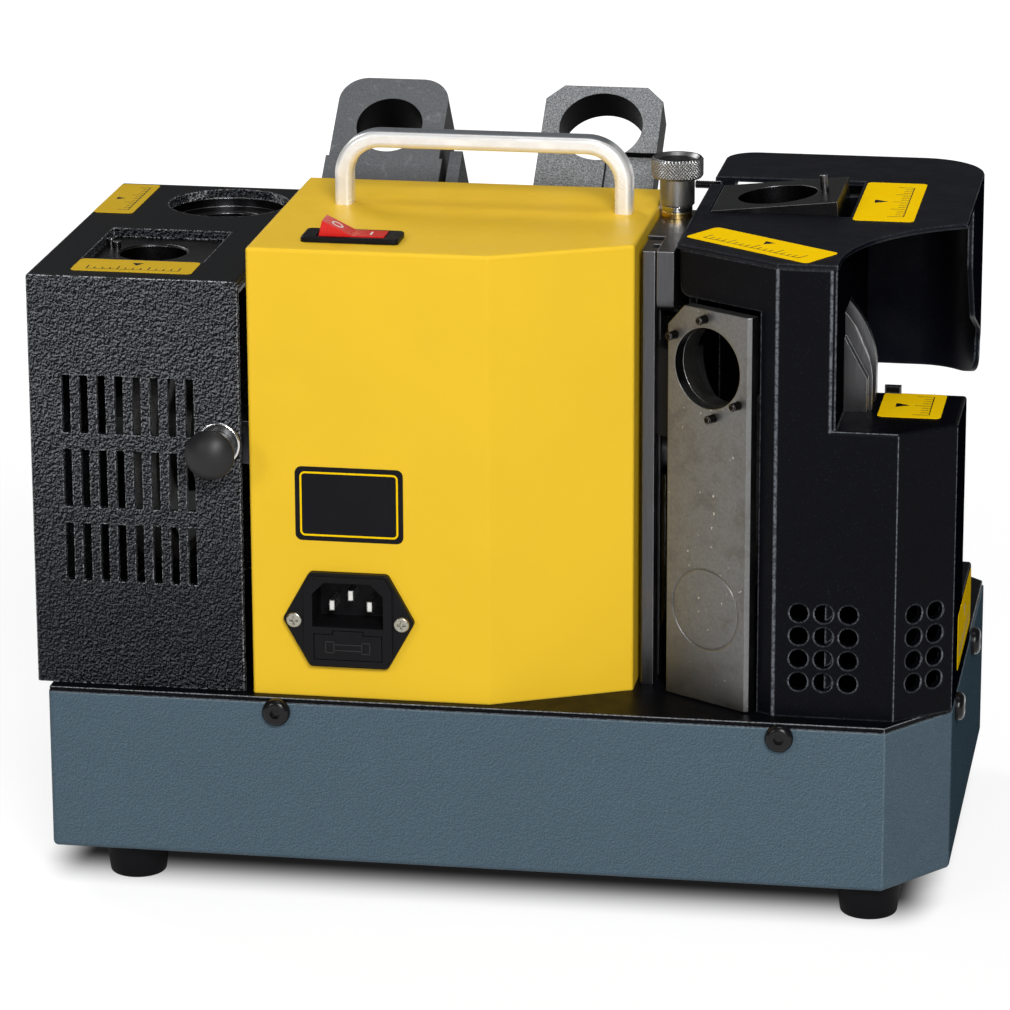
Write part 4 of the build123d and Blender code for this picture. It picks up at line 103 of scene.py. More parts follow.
class Graph:
    """Wires one material; its patterns read Object coordinates, in metres."""

    def __init__(self, name: str) -> None:
        """Start an empty material with a Principled shader on its output.

        Args:
            name: the material's name.
        """
        self.material = bpy.data.materials.new(name)
        self.material.use_nodes = True
        self.tree = self.material.node_tree
        self.tree.nodes.clear()
        self.shader = self.add("ShaderNodeBsdfPrincipled")
        output = self.add("ShaderNodeOutputMaterial")
        self.tree.links.new(self.shader.outputs["BSDF"], output.inputs["Surface"])
        self.place = self.add("ShaderNodeTexCoord").outputs["Object"]

    def add(self, kind: str, **settings: object) -> bpy.types.Node:
        """Add a node of this kind and set its properties.

        Args:
            kind: the node's type.
            settings: properties to set on it.

        Returns:
            The node.
        """
        node = self.tree.nodes.new(kind)
        for key, value in settings.items():
            setattr(node, key, value)
        return node

    def put(self, target: Socket, value: object) -> None:
        """Link a socket to the target, or set the target's own value.

        Args:
            target: the socket that takes the value.
            value: a socket, a colour, a direction or a number.
        """
        if isinstance(value, bpy.types.NodeSocket):
            self.tree.links.new(value, target)
        elif isinstance(value, tuple) and len(value) == 3 and target.type == "RGBA":
            target.default_value = (*value, 1.0)
        else:
            target.default_value = value

    def set(self, **values: object) -> None:
        """Put values on the shader's sockets; an underscore stands for a space."""
        for key, value in values.items():
            self.put(self.shader.inputs[key.replace("_", " ")], value)

    def vector(self, kind: str, first: object, second: object = None) -> bpy.types.Node:
        """Add one step of arithmetic on directions or places.

        Args:
            kind: the operation.
            first: socket or value it works on.
            second: second socket or value, where the operation takes one.

        Returns:
            The node, whose first output is a direction and whose Value is a number.
        """
        node = self.add("ShaderNodeVectorMath", operation=kind)
        self.put(node.inputs[0], first)
        if second is not None:
            self.put(node.inputs[1], second)
        return node

    def normal(self) -> Socket:
        """Return the surface's own direction."""
        return self.add("ShaderNodeNewGeometry").outputs["Normal"]

    def split(self, value: Socket) -> bpy.types.NodeOutputs:
        """Return the X, Y and Z of a direction or place.

        Args:
            value: the direction or place.

        Returns:
            Its three numbers, by the names of their axes.
        """
        node = self.add("ShaderNodeSeparateXYZ")
        self.put(node.inputs[0], value)
        return node.outputs

    def spread(self, stretch: Sequence[float]) -> Socket:
        """Return the place stretched along each axis.

        Args:
            stretch: factors along X, Y and Z.

        Returns:
            The stretched place.
        """
        node = self.add("ShaderNodeMapping")
        self.put(node.inputs["Vector"], self.place)
        node.inputs["Scale"].default_value = stretch
        return node.outputs[0]

    def noise(self, size_mm: float, detail: float = 2.0, rough: float = 0.5, bend: float = 0.0,
              where: Optional[Socket] = None) -> Socket:
        """Return smooth noise between 0 and 1.

        Args:
            size_mm: width of one blob.
            detail: octaves of finer noise on top.
            rough: strength of each finer octave.
            bend: how far the pattern bends itself.
            where: coordinates to read in place of the plain ones.

        Returns:
            The noise value.
        """
        node = self.add("ShaderNodeTexNoise")
        self.put(node.inputs["Vector"], where or self.place)
        node.inputs["Scale"].default_value = 1.0 / (size_mm * MM)
        node.inputs["Detail"].default_value = detail
        node.inputs["Roughness"].default_value = rough
        node.inputs["Distortion"].default_value = bend
        return node.outputs[0]

    def relief_shading(self, size_mm: float, step_mm: float, bend: float = 0.0) -> Socket:
        """Return how much a noise falls over one step towards the painted light, for painting a grain's lit
        and shaded sides.

        Args:
            size_mm: width of one blob.
            step_mm: length of the step.
            bend: how far the pattern bends itself.

        Returns:
            The fall, above 0 on the sides that are painted lit.
        """
        ahead = self.vector("ADD", self.place, Vector(PAINTED_LIGHT_WAY) * step_mm * MM).outputs[0]
        here, there = (self.noise(size_mm, *GRAIN_NOISE, bend, where) for where in (None, ahead))
        return self.sum("SUBTRACT", here, there)

    def cells(self, size_mm: float, output: str = "Distance") -> Socket:
        """Return a cell pattern: the distance to the nearest point, or that cell's colour.

        Args:
            size_mm: width of one cell.
            output: which of the two is asked for.

        Returns:
            The pattern.
        """
        node = self.add("ShaderNodeTexVoronoi")
        self.put(node.inputs["Vector"], self.place)
        node.inputs["Scale"].default_value = 1.0 / (size_mm * MM)
        return node.outputs[output]

    def sum(self, kind: str, first: Level, second: Level = 0.0) -> Socket:
        """Return one arithmetic step on two values.

        Args:
            kind: the operation.
            first: first value.
            second: second value, if the operation takes one.

        Returns:
            The result.
        """
        node = self.add("ShaderNodeMath", operation=kind)
        self.put(node.inputs[0], first)
        self.put(node.inputs[1], second)
        return node.outputs[0]

    def fit(self, value: Socket, low: float, high: float, out_low: float = 0.0,
            out_high: float = 1.0) -> Socket:
        """Return a value carried smoothly from one range to another and held there.

        Args:
            value: the value to carry.
            low: start of its range.
            high: end of its range.
            out_low: result at the start.
            out_high: result at the end.

        Returns:
            The carried value.
        """
        node = self.add("ShaderNodeMapRange", interpolation_type="SMOOTHSTEP")
        self.put(node.inputs["Value"], value)
        ends = {"From Min": low, "From Max": high, "To Min": out_low, "To Max": out_high}
        for key, number in ends.items():
            node.inputs[key].default_value = number
        return node.outputs[0]

    def blend(self, share: Level, first: object, second: object) -> Socket:
        """Return a colour that goes from the first to the second.

        Args:
            share: share of the second, 0 to 1.
            first: colour or socket at 0.
            second: colour or socket at 1.

        Returns:
            The colour.
        """
        node = self.add("ShaderNodeMix", data_type="RGBA")
        self.put(node.inputs[MIX_SHARE], share)
        self.put(node.inputs[MIX_FIRST], first)
        self.put(node.inputs[MIX_SECOND], second)
        return node.outputs[MIX_RESULT]

    def rounded(self, radius_mm: float) -> Socket:
        """Return the surface's direction with its edges rounded by this radius.

        Args:
            radius_mm: radius of the rounding.

        Returns:
            The direction.
        """
        node = self.add("ShaderNodeBevel", samples=BEVEL_SAMPLES)
        node.inputs["Radius"].default_value = radius_mm * MM
        return node.outputs[0]

    def edges(self, radius_mm: float, strength: float = 1.0, level_share: float = 1.0) -> Socket:
        """Return how near an edge is: the share by which rounding would turn the surface.

        Args:
            radius_mm: radius of the rounding.
            strength: share on the edge itself.
            level_share: part of that which an edge keeps where its rounding looks up or down.

        Returns:
            The share, 0 away from every edge.
        """
        smooth = self.rounded(radius_mm)
        turn = self.vector("DOT_PRODUCT", smooth, self.normal())
        share = self.fit(turn.outputs["Value"], *EDGE_TURN, 0.0, strength)
        if level_share == 1.0:
            return share
        tilt = self.sum("ABSOLUTE", self.split(smooth)["Z"])
        return self.sum("MULTIPLY", share, self.fit(tilt, *EDGE_TILT, 1.0, level_share))

    def facing(self, way: Sequence[float], low: float = 0.75, high: float = 0.92) -> Socket:
        """Return 1 where the surface looks this way and 0 where it turns away."""
        return self.fit(self.vector("DOT_PRODUCT", self.normal(), way).outputs["Value"], low, high)

    def ridges(self, ways: Sequence[Sequence[float]]) -> Socket:
        """Return 1 on the rounded corners that look one of these ways, and 0 on the flats beside them."""
        shares = [self.facing(way, *RIDGE_TURN) for way in ways]
        return reduce(lambda first, second: self.sum("MAXIMUM", first, second), shares)

    def near(self, centre_mm: Sequence[float], reach_mm: float) -> Socket:
        """Return 1 at this place on the machine, falling to 0 at this reach from it."""
        gap = self.vector("DISTANCE", self.place, [c * MM for c in centre_mm]).outputs["Value"]
        return self.fit(gap, reach_mm * MM, PATCH_CORE * reach_mm * MM)

    def bump(self, height: Socket, depth_mm: Level, base: Optional[Socket] = None) -> Socket:
        """Return the surface's direction with this height pressed into it.

        Args:
            height: the pattern, between 0 and 1.
            depth_mm: how deep it goes, a number or a socket.
            base: direction to start from, if not the plain one.

        Returns:
            The new direction.
        """
        node = self.add("ShaderNodeBump")
        if isinstance(depth_mm, bpy.types.NodeSocket):
            height, depth_mm = self.sum("MULTIPLY", height, depth_mm), 1.0
        node.inputs["Strength"].default_value = 1.0
        node.inputs["Distance"].default_value = depth_mm * MM
        self.put(node.inputs["Height"], height)
        if base is not None:
            self.put(node.inputs["Normal"], base)
        return node.outputs[0]


@dataclass(frozen=True)
class Finish:
    """What every finish shares: a name, and one material made on first use."""

    name: str

    @lru_cache(maxsize=None)
    def material(self) -> bpy.types.Material:
        """Return this finish's material, made once.

        Returns:
            The material, wired on the first call.
        """
        graph = Graph(f"{self.name}_finish")
        self.wire(graph)
        return graph.material

    def wire(self, graph: Graph) -> None:
        """Wire the material; each finish has its own way."""
        raise NotImplementedError


@dataclass(frozen=True)
class PowderCoat(Finish):
    """Baked paint with a fine orange peel, a little tone drift, painted light and shade on its grain,
    painted glints, and lighter edges and rounded corners as painted highlights.
    """

    colour: Colour
    edge_colour: Colour
    roughness: float = 0.42
    peel_mm: float = 0.9
    peel_depth_mm: float = 0.035
    edge_mm: float = 0.5
    edge_share: float = 0.5
    gloss: float = 0.5
    glint: float = 0.0
    level_edges: float = 1.0
    ridges: tuple[Way, ...] = ()
    ridge_share: float = 0.3
    matt_way: Optional[Way] = None
    relief_shading: float = 0.0
    shading_step_mm: float = 0.4
    shading_span: Pair = (-0.2, 0.2)
    drift_mm: float = 38.0
    drift_share: float = 0.10
    drift_tone: float = 0.72
    spark_mm: float = 0.55
    spark_span: Pair = (0.66, 0.74)
    break_mm: float = 1.1
    break_span: Pair = (0.36, 0.60)
    break_least: float = 0.35
    wear_mm: float = 9.0
    wear_span: Pair = (-0.05, 0.06)

    def wire(self, graph: Graph) -> None:
        """Drift the tone, paint light and shade on the grain, paint glints and highlights on the edges in
        broken lines, and press in the peel.

        Args:
            graph: the material's graph.
        """
        drift = graph.fit(graph.noise(self.drift_mm, detail=3.0), *NOISE_MIDDLE, 0.0, self.drift_share)
        dark = tuple(c * self.drift_tone for c in self.colour)
        plain = self.colour
        # Painted light and shade: the sides of the peel that face the painted light are lighter, the others
        # darker.
        if self.relief_shading:
            tones = (1.0 - self.relief_shading, 1.0 + self.relief_shading)
            sides = (tuple(c * tone for c in self.colour) for tone in tones)
            fall = graph.relief_shading(self.peel_mm, self.shading_step_mm)
            plain = graph.blend(graph.fit(fall, *self.shading_span), *sides)
        base = graph.blend(drift, plain, dark)
        # Painted glints: specks of the edge colour stand for tiny highlights.
        if self.glint:
            spark = graph.fit(graph.noise(self.spark_mm, detail=1.0), *self.spark_span, 0.0, self.glint)
            base = graph.blend(spark, base, self.edge_colour)
        # Painted highlight: edges and rounded corners take the lighter edge colour, broken up by noise.
        broken = graph.fit(graph.noise(self.break_mm), *self.break_span, self.break_least, 1.0)
        edge = graph.edges(self.edge_mm, self.edge_share, self.level_edges)
        if self.ridges:
            ridge = graph.sum("MULTIPLY", graph.ridges(self.ridges), self.ridge_share)
            edge = graph.sum("MAXIMUM", edge, ridge)
        edge = graph.sum("MULTIPLY", edge, broken)
        graph.set(Base_Color=graph.blend(edge, base, self.edge_colour), Specular_IOR_Level=self.gloss)
        if self.matt_way:
            matt = graph.facing(self.matt_way)
            graph.set(Specular_IOR_Level=graph.fit(matt, 0.0, 1.0, self.gloss, 0.0))
        wear = graph.noise(self.wear_mm, detail=4.0, rough=0.6)
        rough = (self.roughness + change for change in self.wear_span)
        graph.set(Roughness=graph.fit(wear, *NOISE_MIDDLE, *rough))
        peel = graph.noise(self.peel_mm, rough=0.55)
        graph.set(Normal=graph.bump(peel, self.peel_depth_mm, graph.rounded(self.edge_mm)))


@dataclass(frozen=True)
class PebbledCoat(Finish):
    """Thick wrinkled paint: a leather grain on walls with painted light on its crests, more of it high up on
    the front face and none on walls set back behind it, painted highlights on edges, and smoother level
    faces.
    """

    colour: Colour
    low_lit_crest: Colour
    high_lit_crest: Colour
    edge_colour: Colour
    roughness: float = 0.34
    pebble_mm: float = 0.95
    bend: float = 0.7
    step_mm: float = 0.50
    lit_crest_span: Pair = (-0.10, 0.20)
    depth_mm: float = 3.0
    level_span: Pair = (0.4, 0.8)
    level_share: float = 0.03
    edge_mm: float = 0.8
    break_span: Pair = (0.42, 0.60)
    break_shares: Pair = (0.05, 0.9)
    gloss: float = 0.09
    light_rise_mm: Pair = (95.0, 190.0)
    front_light_mm: Pair = (-79.3, -80.8)
    ridges: tuple[Way, ...] = ((0.0, -0.707, 0.707), (0.707, -0.707, 0.0), (-0.707, -0.707, 0.0))

    def wire(self, graph: Graph) -> None:
        """Press a bent noise into upright walls, paint light on the crests that face the painted light, and
        break up the painted highlights on the edges.

        Args:
            graph: the material's graph.
        """
        wrinkle = graph.noise(self.pebble_mm, *GRAIN_NOISE, self.bend)
        level = graph.facing(UP, *self.level_span)
        depth = graph.fit(level, 0.0, 1.0, self.depth_mm, self.depth_mm * self.level_share)
        graph.set(Normal=graph.bump(wrinkle, depth, graph.rounded(self.edge_mm)))
        # Painted light: the crest colour grows lighter high up on the front face and stays low on walls set
        # back behind it.
        place = graph.split(graph.place)
        front = graph.fit(place["Y"], *(y * MM for y in self.front_light_mm))
        high = graph.fit(place["Z"], *(z * MM for z in self.light_rise_mm))
        crest = graph.blend(graph.sum("MULTIPLY", high, front), self.low_lit_crest, self.high_lit_crest)
        # Painted light and shade: the crest colour goes on the sides of the grain that face the painted
        # light.
        grain = graph.fit(graph.relief_shading(self.pebble_mm, self.step_mm, self.bend), *self.lit_crest_span)
        share = graph.sum("MULTIPLY", grain, graph.fit(level, 0.0, 1.0, 1.0, self.level_share))
        # Painted highlight on edges and rounded corners, broken up by the wrinkle.
        edge = graph.sum("MAXIMUM", graph.edges(self.edge_mm), graph.ridges(self.ridges))
        edge = graph.sum("MULTIPLY", edge, graph.fit(wrinkle, *self.break_span, *self.break_shares))
        base = graph.blend(edge, graph.blend(share, self.colour, crest), self.edge_colour)
        graph.set(Base_Color=base, Roughness=self.roughness, Specular_IOR_Level=self.gloss)


@dataclass(frozen=True)
class Steel(Finish):
    """Bare or blackened metal: tone, machining lines, stains, chips, edges in their own colour as a painted
    highlight that is partly bare wear, and painted shade on one side.
    """

    colour: Colour
    stain: Colour
    roughness: float = 0.34
    grain: Grain = Grain.ROUND
    line_mm: float = 0.5
    line_depth_mm: float = 0.012
    stain_share: float = 0.25
    stain_mm: float = 22.0
    edge_colour: Colour = (0.62, 0.62, 0.63)
    edge_mm: float = 0.4
    edge_share: float = 0.4
    metal: float = 1.0
    patch: Optional[Way] = None
    patch_mm: float = 30.0
    shade: Optional[Colour] = None
    shade_way: Way = (0.0, 0.0, 1.0)
    chips: float = 0.0
    chip_mm: float = 2.4
    chip_span: Pair = (0.73, 0.75)
    line_tone: float = 0.62
    line_share: float = 0.35
    line_span: Pair = (0.25, 0.75)
    line_rough: Pair = (-0.06, 0.08)
    stain_span: Pair = (0.48, 0.72)
    stain_rough: float = 0.12
    patch_span: Pair = (0.25, 0.6)
    patch_shares: Pair = (0.35, 0.9)

    def wire(self, graph: Graph) -> None:
        """Lay the lines, then the stains, a patch and chips, then the painted highlight on the edges, then
        painted shade on one side.

        Args:
            graph: the material's graph.
        """
        lines = graph.noise(self.line_mm, detail=3.0, rough=0.6, where=graph.spread(self.grain.value))
        dark = tuple(c * self.line_tone for c in self.colour)
        tone = graph.blend(graph.fit(lines, *self.line_span, 0.0, self.line_share), self.colour, dark)
        blot = graph.noise(self.stain_mm, detail=4.0, rough=0.6, bend=0.5)
        tone = graph.blend(graph.fit(blot, *self.stain_span, 0.0, self.stain_share), tone, self.stain)
        if self.patch:
            cloud = graph.fit(blot, *self.patch_span, *self.patch_shares)
            share = graph.sum("MULTIPLY", graph.near(self.patch, self.patch_mm), cloud)
            tone = graph.blend(share, tone, self.stain)
        if self.chips:
            chip = graph.fit(graph.noise(self.chip_mm), *self.chip_span, 0.0, self.chips)
            tone = graph.blend(chip, tone, self.edge_colour)
        # Painted highlight on edges, partly bare wear; where the edge colour is darker than the metal it
        # paints shade on the rounding.
        if self.edge_share:
            tone = graph.blend(graph.edges(self.edge_mm, self.edge_share), tone, self.edge_colour)
        # Painted shade: faces that look the given way are darkened.
        if self.shade:
            tone = graph.blend(graph.facing(self.shade_way), tone, self.shade)
        graph.set(Base_Color=tone, Metallic=self.metal)
        lined = graph.fit(lines, 0.2, 0.8, *self.line_rough)
        rough = graph.sum("ADD", lined, graph.fit(blot, *CLOUD_SPAN, 0.0, self.stain_rough))
        graph.set(Roughness=graph.sum("ADD", rough, self.roughness))
        graph.set(Normal=graph.bump(lines, self.line_depth_mm, graph.rounded(self.edge_mm)))


@dataclass(frozen=True)
class SpeckledCast(Finish):
    """Casting with grey faces on one side that carry salt and pepper grains and scuffs, and near black on
    every other face, which also paints the shade in its bores.
    """

    colour: Colour
    salt: Colour
    pepper: Colour
    black: Colour
    ground_way: Way
    roughness: float = 0.50
    grain_mm: float = 0.55
    scuff_mm: float = 6.0
    depth_mm: float = 0.03
    grain_share: float = 0.8
    scuff_share: float = 0.3
    edge_mm: float = 0.5
    edge_share: float = 0.7
    salt_span: Pair = (0.50, 0.72)
    pepper_span: Pair = (0.48, 0.30)
    scuff_span: Pair = (0.56, 0.70)
    rough_span: Pair = (0.1, -0.12)
    metal: float = 0.2
    gloss: Pair = (0.02, 0.3)

    def wire(self, graph: Graph) -> None:
        """Scatter light and dark grains and scuffs on the ground side and paint the rest near black, which
        also stands for the shade in the bores.

        Args:
            graph: the material's graph.
        """
        fine = graph.noise(self.grain_mm, rough=0.6)
        scuff = graph.noise(self.scuff_mm, detail=5.0, rough=0.7, bend=0.8)
        ground = graph.facing(self.ground_way)
        tone = graph.blend(graph.fit(fine, *self.salt_span, 0.0, self.grain_share), self.colour, self.salt)
        tone = graph.blend(graph.fit(fine, *self.pepper_span, 0.0, self.grain_share), tone, self.pepper)
        tone = graph.blend(graph.fit(scuff, *self.scuff_span, 0.0, self.scuff_share), tone, self.salt)
        tone = graph.blend(graph.edges(self.edge_mm, self.edge_share), tone, self.pepper)
        # Painted shade: faces that don't look the ground way take the near black colour, which darkens the
        # insides of the bores.
        graph.set(Base_Color=graph.blend(ground, self.black, tone))
        graph.set(Metallic=graph.fit(ground, 0.0, 1.0, 0.0, self.metal))
        graph.set(Specular_IOR_Level=graph.fit(ground, 0.0, 1.0, *self.gloss))
        rough = graph.fit(fine, *NOISE_MIDDLE, *(self.roughness + change for change in self.rough_span))
        graph.set(Roughness=rough, Normal=graph.bump(fine, self.depth_mm, graph.rounded(self.edge_mm)))


@dataclass(frozen=True)
class Moulded(Finish):
    """Moulded plastic or rubber: one tone with a little dust, a fine tooth, and soft edges with a paler
    painted highlight.
    """

    colour: Colour
    roughness: float = 0.5
    tooth_mm: float = 0.35
    tooth_depth_mm: float = 0.01
    edge_mm: float = 0.3
    coat: float = 0.0
    dust: float = 0.0
    gloss: float = 0.25
    cloud_mm: float = 11.0
    cloud_share: float = 0.2
    edge_share: float = 0.35
    coat_roughness: float = 0.06
    pale: Pair = (1.25, 0.006)
    rough_span: Pair = (-0.04, 0.05)

    def wire(self, graph: Graph) -> None:
        """Set the tone, a little dust in it, a painted highlight on the edges, the tooth and the clear coat.

        Args:
            graph: the material's graph.
        """
        factor, lift = self.pale
        pale = tuple(min(1.0, c * factor + lift) for c in self.colour)
        cloud = graph.noise(self.cloud_mm, detail=4.0, rough=0.65)
        dusty = graph.fit(cloud, *CLOUD_SPAN, 0.0, self.cloud_share + self.dust)
        # The paler colour stands for real dust in the clouds and for a painted highlight on the edges.
        share = graph.sum("ADD", dusty, graph.edges(self.edge_mm, self.edge_share))
        graph.set(Base_Color=graph.blend(share, self.colour, pale))
        rough = graph.fit(cloud, *NOISE_MIDDLE, *(self.roughness + change for change in self.rough_span))
        graph.set(Roughness=rough, Specular_IOR_Level=self.gloss)
        graph.set(Coat_Weight=self.coat, Coat_Roughness=self.coat_roughness)
        tooth = graph.noise(self.tooth_mm, rough=0.6)
        graph.set(Normal=graph.bump(tooth, self.tooth_depth_mm, graph.rounded(self.edge_mm)))


@dataclass(frozen=True)
class Abrasive(Finish):
    """Bonded grit: a crowd of small grains of several tones with pits between them."""

    colour: Colour
    grit: Colour
    grain_mm: float = 0.45
    depth_mm: float = -0.12
    roughness: float = 0.85

    def wire(self, graph: Graph) -> None:
        """Colour each grain by its cell and sink the gaps between grains.

        Args:
            graph: the material's graph.
        """
        tint = graph.add("ShaderNodeSeparateColor")
        graph.put(tint.inputs[0], graph.cells(self.grain_mm, "Color"))
        graph.set(Base_Color=graph.blend(tint.outputs[0], self.colour, self.grit))
        graph.set(Roughness=self.roughness, Normal=graph.bump(graph.cells(self.grain_mm), self.depth_mm))


@dataclass(frozen=True)
class Stacked(Finish):
    """Thin layers side by side along X: sheet laminations or turns of wire."""

    colour: Colour
    gap: Colour
    pitch_mm: float = 0.5
    roughness: float = 0.4
    metal: float = 1.0
    waver: float = 0.4
    gap_span: Pair = (0.25, 0.0)
    depth_mm: float = 0.08

    def wire(self, graph: Graph) -> None:
        """Ripple the tone and the surface once per layer.

        Args:
            graph: the material's graph.
        """
        wave = graph.add("ShaderNodeTexWave", wave_type="BANDS", bands_direction="X")
        graph.put(wave.inputs["Vector"], graph.place)
        wave.inputs["Scale"].default_value = 2 * pi / (BAND_RATE * self.pitch_mm * MM)
        wave.inputs["Distortion"].default_value = self.waver
        band = wave.outputs["Fac"]
        graph.set(Base_Color=graph.blend(graph.fit(band, *self.gap_span), self.colour, self.gap))
        graph.set(Metallic=self.metal, Roughness=self.roughness, Normal=graph.bump(band, self.depth_mm))


@dataclass(frozen=True)
class ClearGlass(Finish):
    """Thin clear glass tube."""

    tint: Colour = (0.92, 0.96, 0.97)
    roughness: float = 0.04
    index: float = 1.5
    clear: float = 0.85

    def wire(self, graph: Graph) -> None:
        """Let light through with a faint cool tint."""
        graph.set(Base_Color=self.tint, Roughness=self.roughness)
        graph.set(IOR=self.index, Transmission_Weight=self.clear)


# Painted light and shade on the peel, and a painted highlight on the rounded front corner.
BLUE_GREY = PowderCoat(
    "blue_grey_paint", (0.0645, 0.105, 0.138), (0.27, 0.34, 0.38), roughness=0.58, peel_mm=0.6,
    peel_depth_mm=0.09, edge_mm=0.8, edge_share=0.6, gloss=0.30, glint=0.40, ridges=((0.441, -0.898, 0.0),),
    ridge_share=0.2, matt_way=(1.0, 0.0, 0.0), relief_shading=0.23,
)
YELLOW = PowderCoat(
    "yellow_paint", (0.90, 0.57, 0.026), (0.97, 0.74, 0.16), peel_mm=1.1, edge_mm=1.0, edge_share=0.45,
    gloss=0.22,
)
BLACK = PowderCoat(
    "black_paint", (0.0040, 0.0044, 0.0078), (0.26, 0.28, 0.32), roughness=0.38, peel_mm=0.8,
    peel_depth_mm=0.05, edge_mm=1.2, edge_share=0.8, gloss=0.09, glint=0.03, level_edges=0.12,
    matt_way=(1.0, 0.0, 0.0),
)
# Its ridges are painted highlights on the rounded upright corners and the top front edges.
HOUSE_BLACK = PowderCoat(
    "house_paint", (0.0022, 0.0024, 0.0040), (0.30, 0.32, 0.36), roughness=0.38, peel_mm=0.8,
    peel_depth_mm=0.05, edge_mm=1.2, edge_share=0.8, gloss=0.06, glint=0.03, level_edges=0.12,
    ridges=((-0.276, -0.961, 0.0), (0.325, -0.946, 0.0), (0.85, -0.527, 0.0), (0.0, -0.707, 0.707)),
    ridge_share=0.5, matt_way=(1.0, 0.0, 0.0),
)
DECK_BLACK = PowderCoat(
    "deck_paint", (0.0022, 0.0024, 0.0036), (0.50, 0.52, 0.55), roughness=0.40, peel_mm=0.8,
    peel_depth_mm=0.05, edge_mm=0.7, edge_share=0.8, gloss=0.06, glint=0.03,
)
# Its two crest colours are painted light, low and high up on the front face.
PEBBLED = PebbledCoat(
    "grained_black_paint", (0.0036, 0.0040, 0.0050), (0.092, 0.097, 0.109), (0.228, 0.237, 0.257),
    (0.50, 0.51, 0.53),
)
# Painted shade darkens the handle's top.
ALUMINIUM = Steel(
    "handle_metal", (0.94, 0.94, 0.94), (0.88, 0.88, 0.89), roughness=0.30, line_mm=9.0, line_depth_mm=0.0,
    stain_share=0.05, edge_share=0.0, metal=0.45, shade=(0.22, 0.235, 0.255),
)
BLACK_SCREW = Moulded(
    "black_screws", (0.005, 0.005, 0.006), roughness=0.24, tooth_mm=0.5, tooth_depth_mm=0.003, gloss=0.25,
)
RUBBER = Moulded(
    "foot_rubber", (0.003, 0.003, 0.004), roughness=0.60, tooth_mm=0.6, tooth_depth_mm=0.03, edge_mm=0.5,
    dust=0.06, gloss=0.10,
)
BLACKENED = Steel(
    "blackened_steel", (0.088, 0.088, 0.093), (0.13, 0.105, 0.085), roughness=0.32, grain=Grain.UPRIGHT,
    line_mm=0.6, stain_share=0.35, edge_colour=(0.72, 0.72, 0.73), edge_mm=0.45, edge_share=0.75,
)
HOLDER_BLACK = Steel(
    "holder_black", (0.030, 0.030, 0.033), (0.06, 0.05, 0.045), roughness=0.30, line_mm=0.6,
    stain_share=0.3, edge_colour=(0.42, 0.42, 0.43), edge_mm=0.45, edge_share=0.6,
)
SMOOTH_PHOSPHATE = SpeckledCast(
    "smooth_phosphate", (0.125, 0.131, 0.141), (0.26, 0.27, 0.28), (0.045, 0.047, 0.050),
    (0.0035, 0.0035, 0.0040), ground_way=(0.0, -0.64, 0.77), grain_share=0.35, scuff_share=0.6,
)
PHOSPHATE = SpeckledCast(
    "grey_phosphate", (0.215, 0.224, 0.236), (0.50, 0.51, 0.52), (0.036, 0.038, 0.041),
    (0.0035, 0.0035, 0.0040), ground_way=(0.0, -0.64, 0.77),
)
# Painted shade darkens the plate's right side.
GROUND = Steel(
    "ground_steel", (0.185, 0.186, 0.186), (0.110, 0.103, 0.092), roughness=0.40, line_mm=1.1,
    line_depth_mm=0.014, stain_share=0.40, stain_mm=11.0, edge_colour=(0.60, 0.59, 0.57), edge_mm=0.5,
    edge_share=0.2, patch=(61.9, -52.8, 225.6), patch_mm=22.0, shade=(0.035, 0.035, 0.036),
    shade_way=(0.82, -0.57, 0.0), chips=0.8,
)
SLEEVE = Steel(
    "sleeve_steel", (0.40, 0.395, 0.385), (0.170, 0.150, 0.125), roughness=0.32, line_mm=0.8,
    line_depth_mm=0.010, stain_share=0.35, stain_mm=9.0, edge_colour=(0.76, 0.75, 0.73), edge_mm=0.5,
    edge_share=0.7,
)
PLATE_PIN = Steel(
    "plate_pin_steel", (0.012, 0.010, 0.009), (0.040, 0.028, 0.020), roughness=0.40,
    edge_colour=(0.55, 0.53, 0.50), edge_mm=0.3, edge_share=0.8,
)
PIN_STEEL = Steel(
    "pin_steel", (0.12, 0.12, 0.125), (0.06, 0.05, 0.045), roughness=0.28, edge_colour=(0.75, 0.75, 0.75),
    edge_mm=0.3, edge_share=0.8,
)
# Painted shade darkens the upward faces of the knob and lead screw.
KNOB_STEEL = Steel(
    "knob_steel", (0.310, 0.310, 0.312), (0.14, 0.13, 0.12), line_depth_mm=0.010, stain_share=0.30,
    stain_mm=8.0, edge_colour=(0.65, 0.65, 0.65), edge_mm=0.2, edge_share=0.5, shade=(0.018, 0.018, 0.019),
)
BRASS = Steel(
    "washer_brass", (0.78, 0.56, 0.22), (0.42, 0.28, 0.12), roughness=0.24, edge_colour=(0.95, 0.80, 0.45),
)
CHROME = Steel(
    "ring_chrome", (0.72, 0.72, 0.74), (0.5, 0.5, 0.5), roughness=0.16, stain_share=0.1,
    edge_colour=(0.9, 0.9, 0.9),
)
PHENOLIC = Moulded(
    "latch_phenolic", (0.006, 0.006, 0.007), roughness=0.46, tooth_mm=0.6, tooth_depth_mm=0.002,
    edge_mm=0.4, gloss=0.40,
)
SWITCH_BLACK = Moulded(
    "switch_black", (0.006, 0.006, 0.007), roughness=0.42, tooth_mm=0.4, tooth_depth_mm=0.015, edge_mm=0.35,
    gloss=0.10,
)
SIGN_BLACK = Moulded(
    "sign_black", (0.020, 0.020, 0.021), roughness=0.40, tooth_mm=0.4, tooth_depth_mm=0.004, edge_mm=0.1,
)
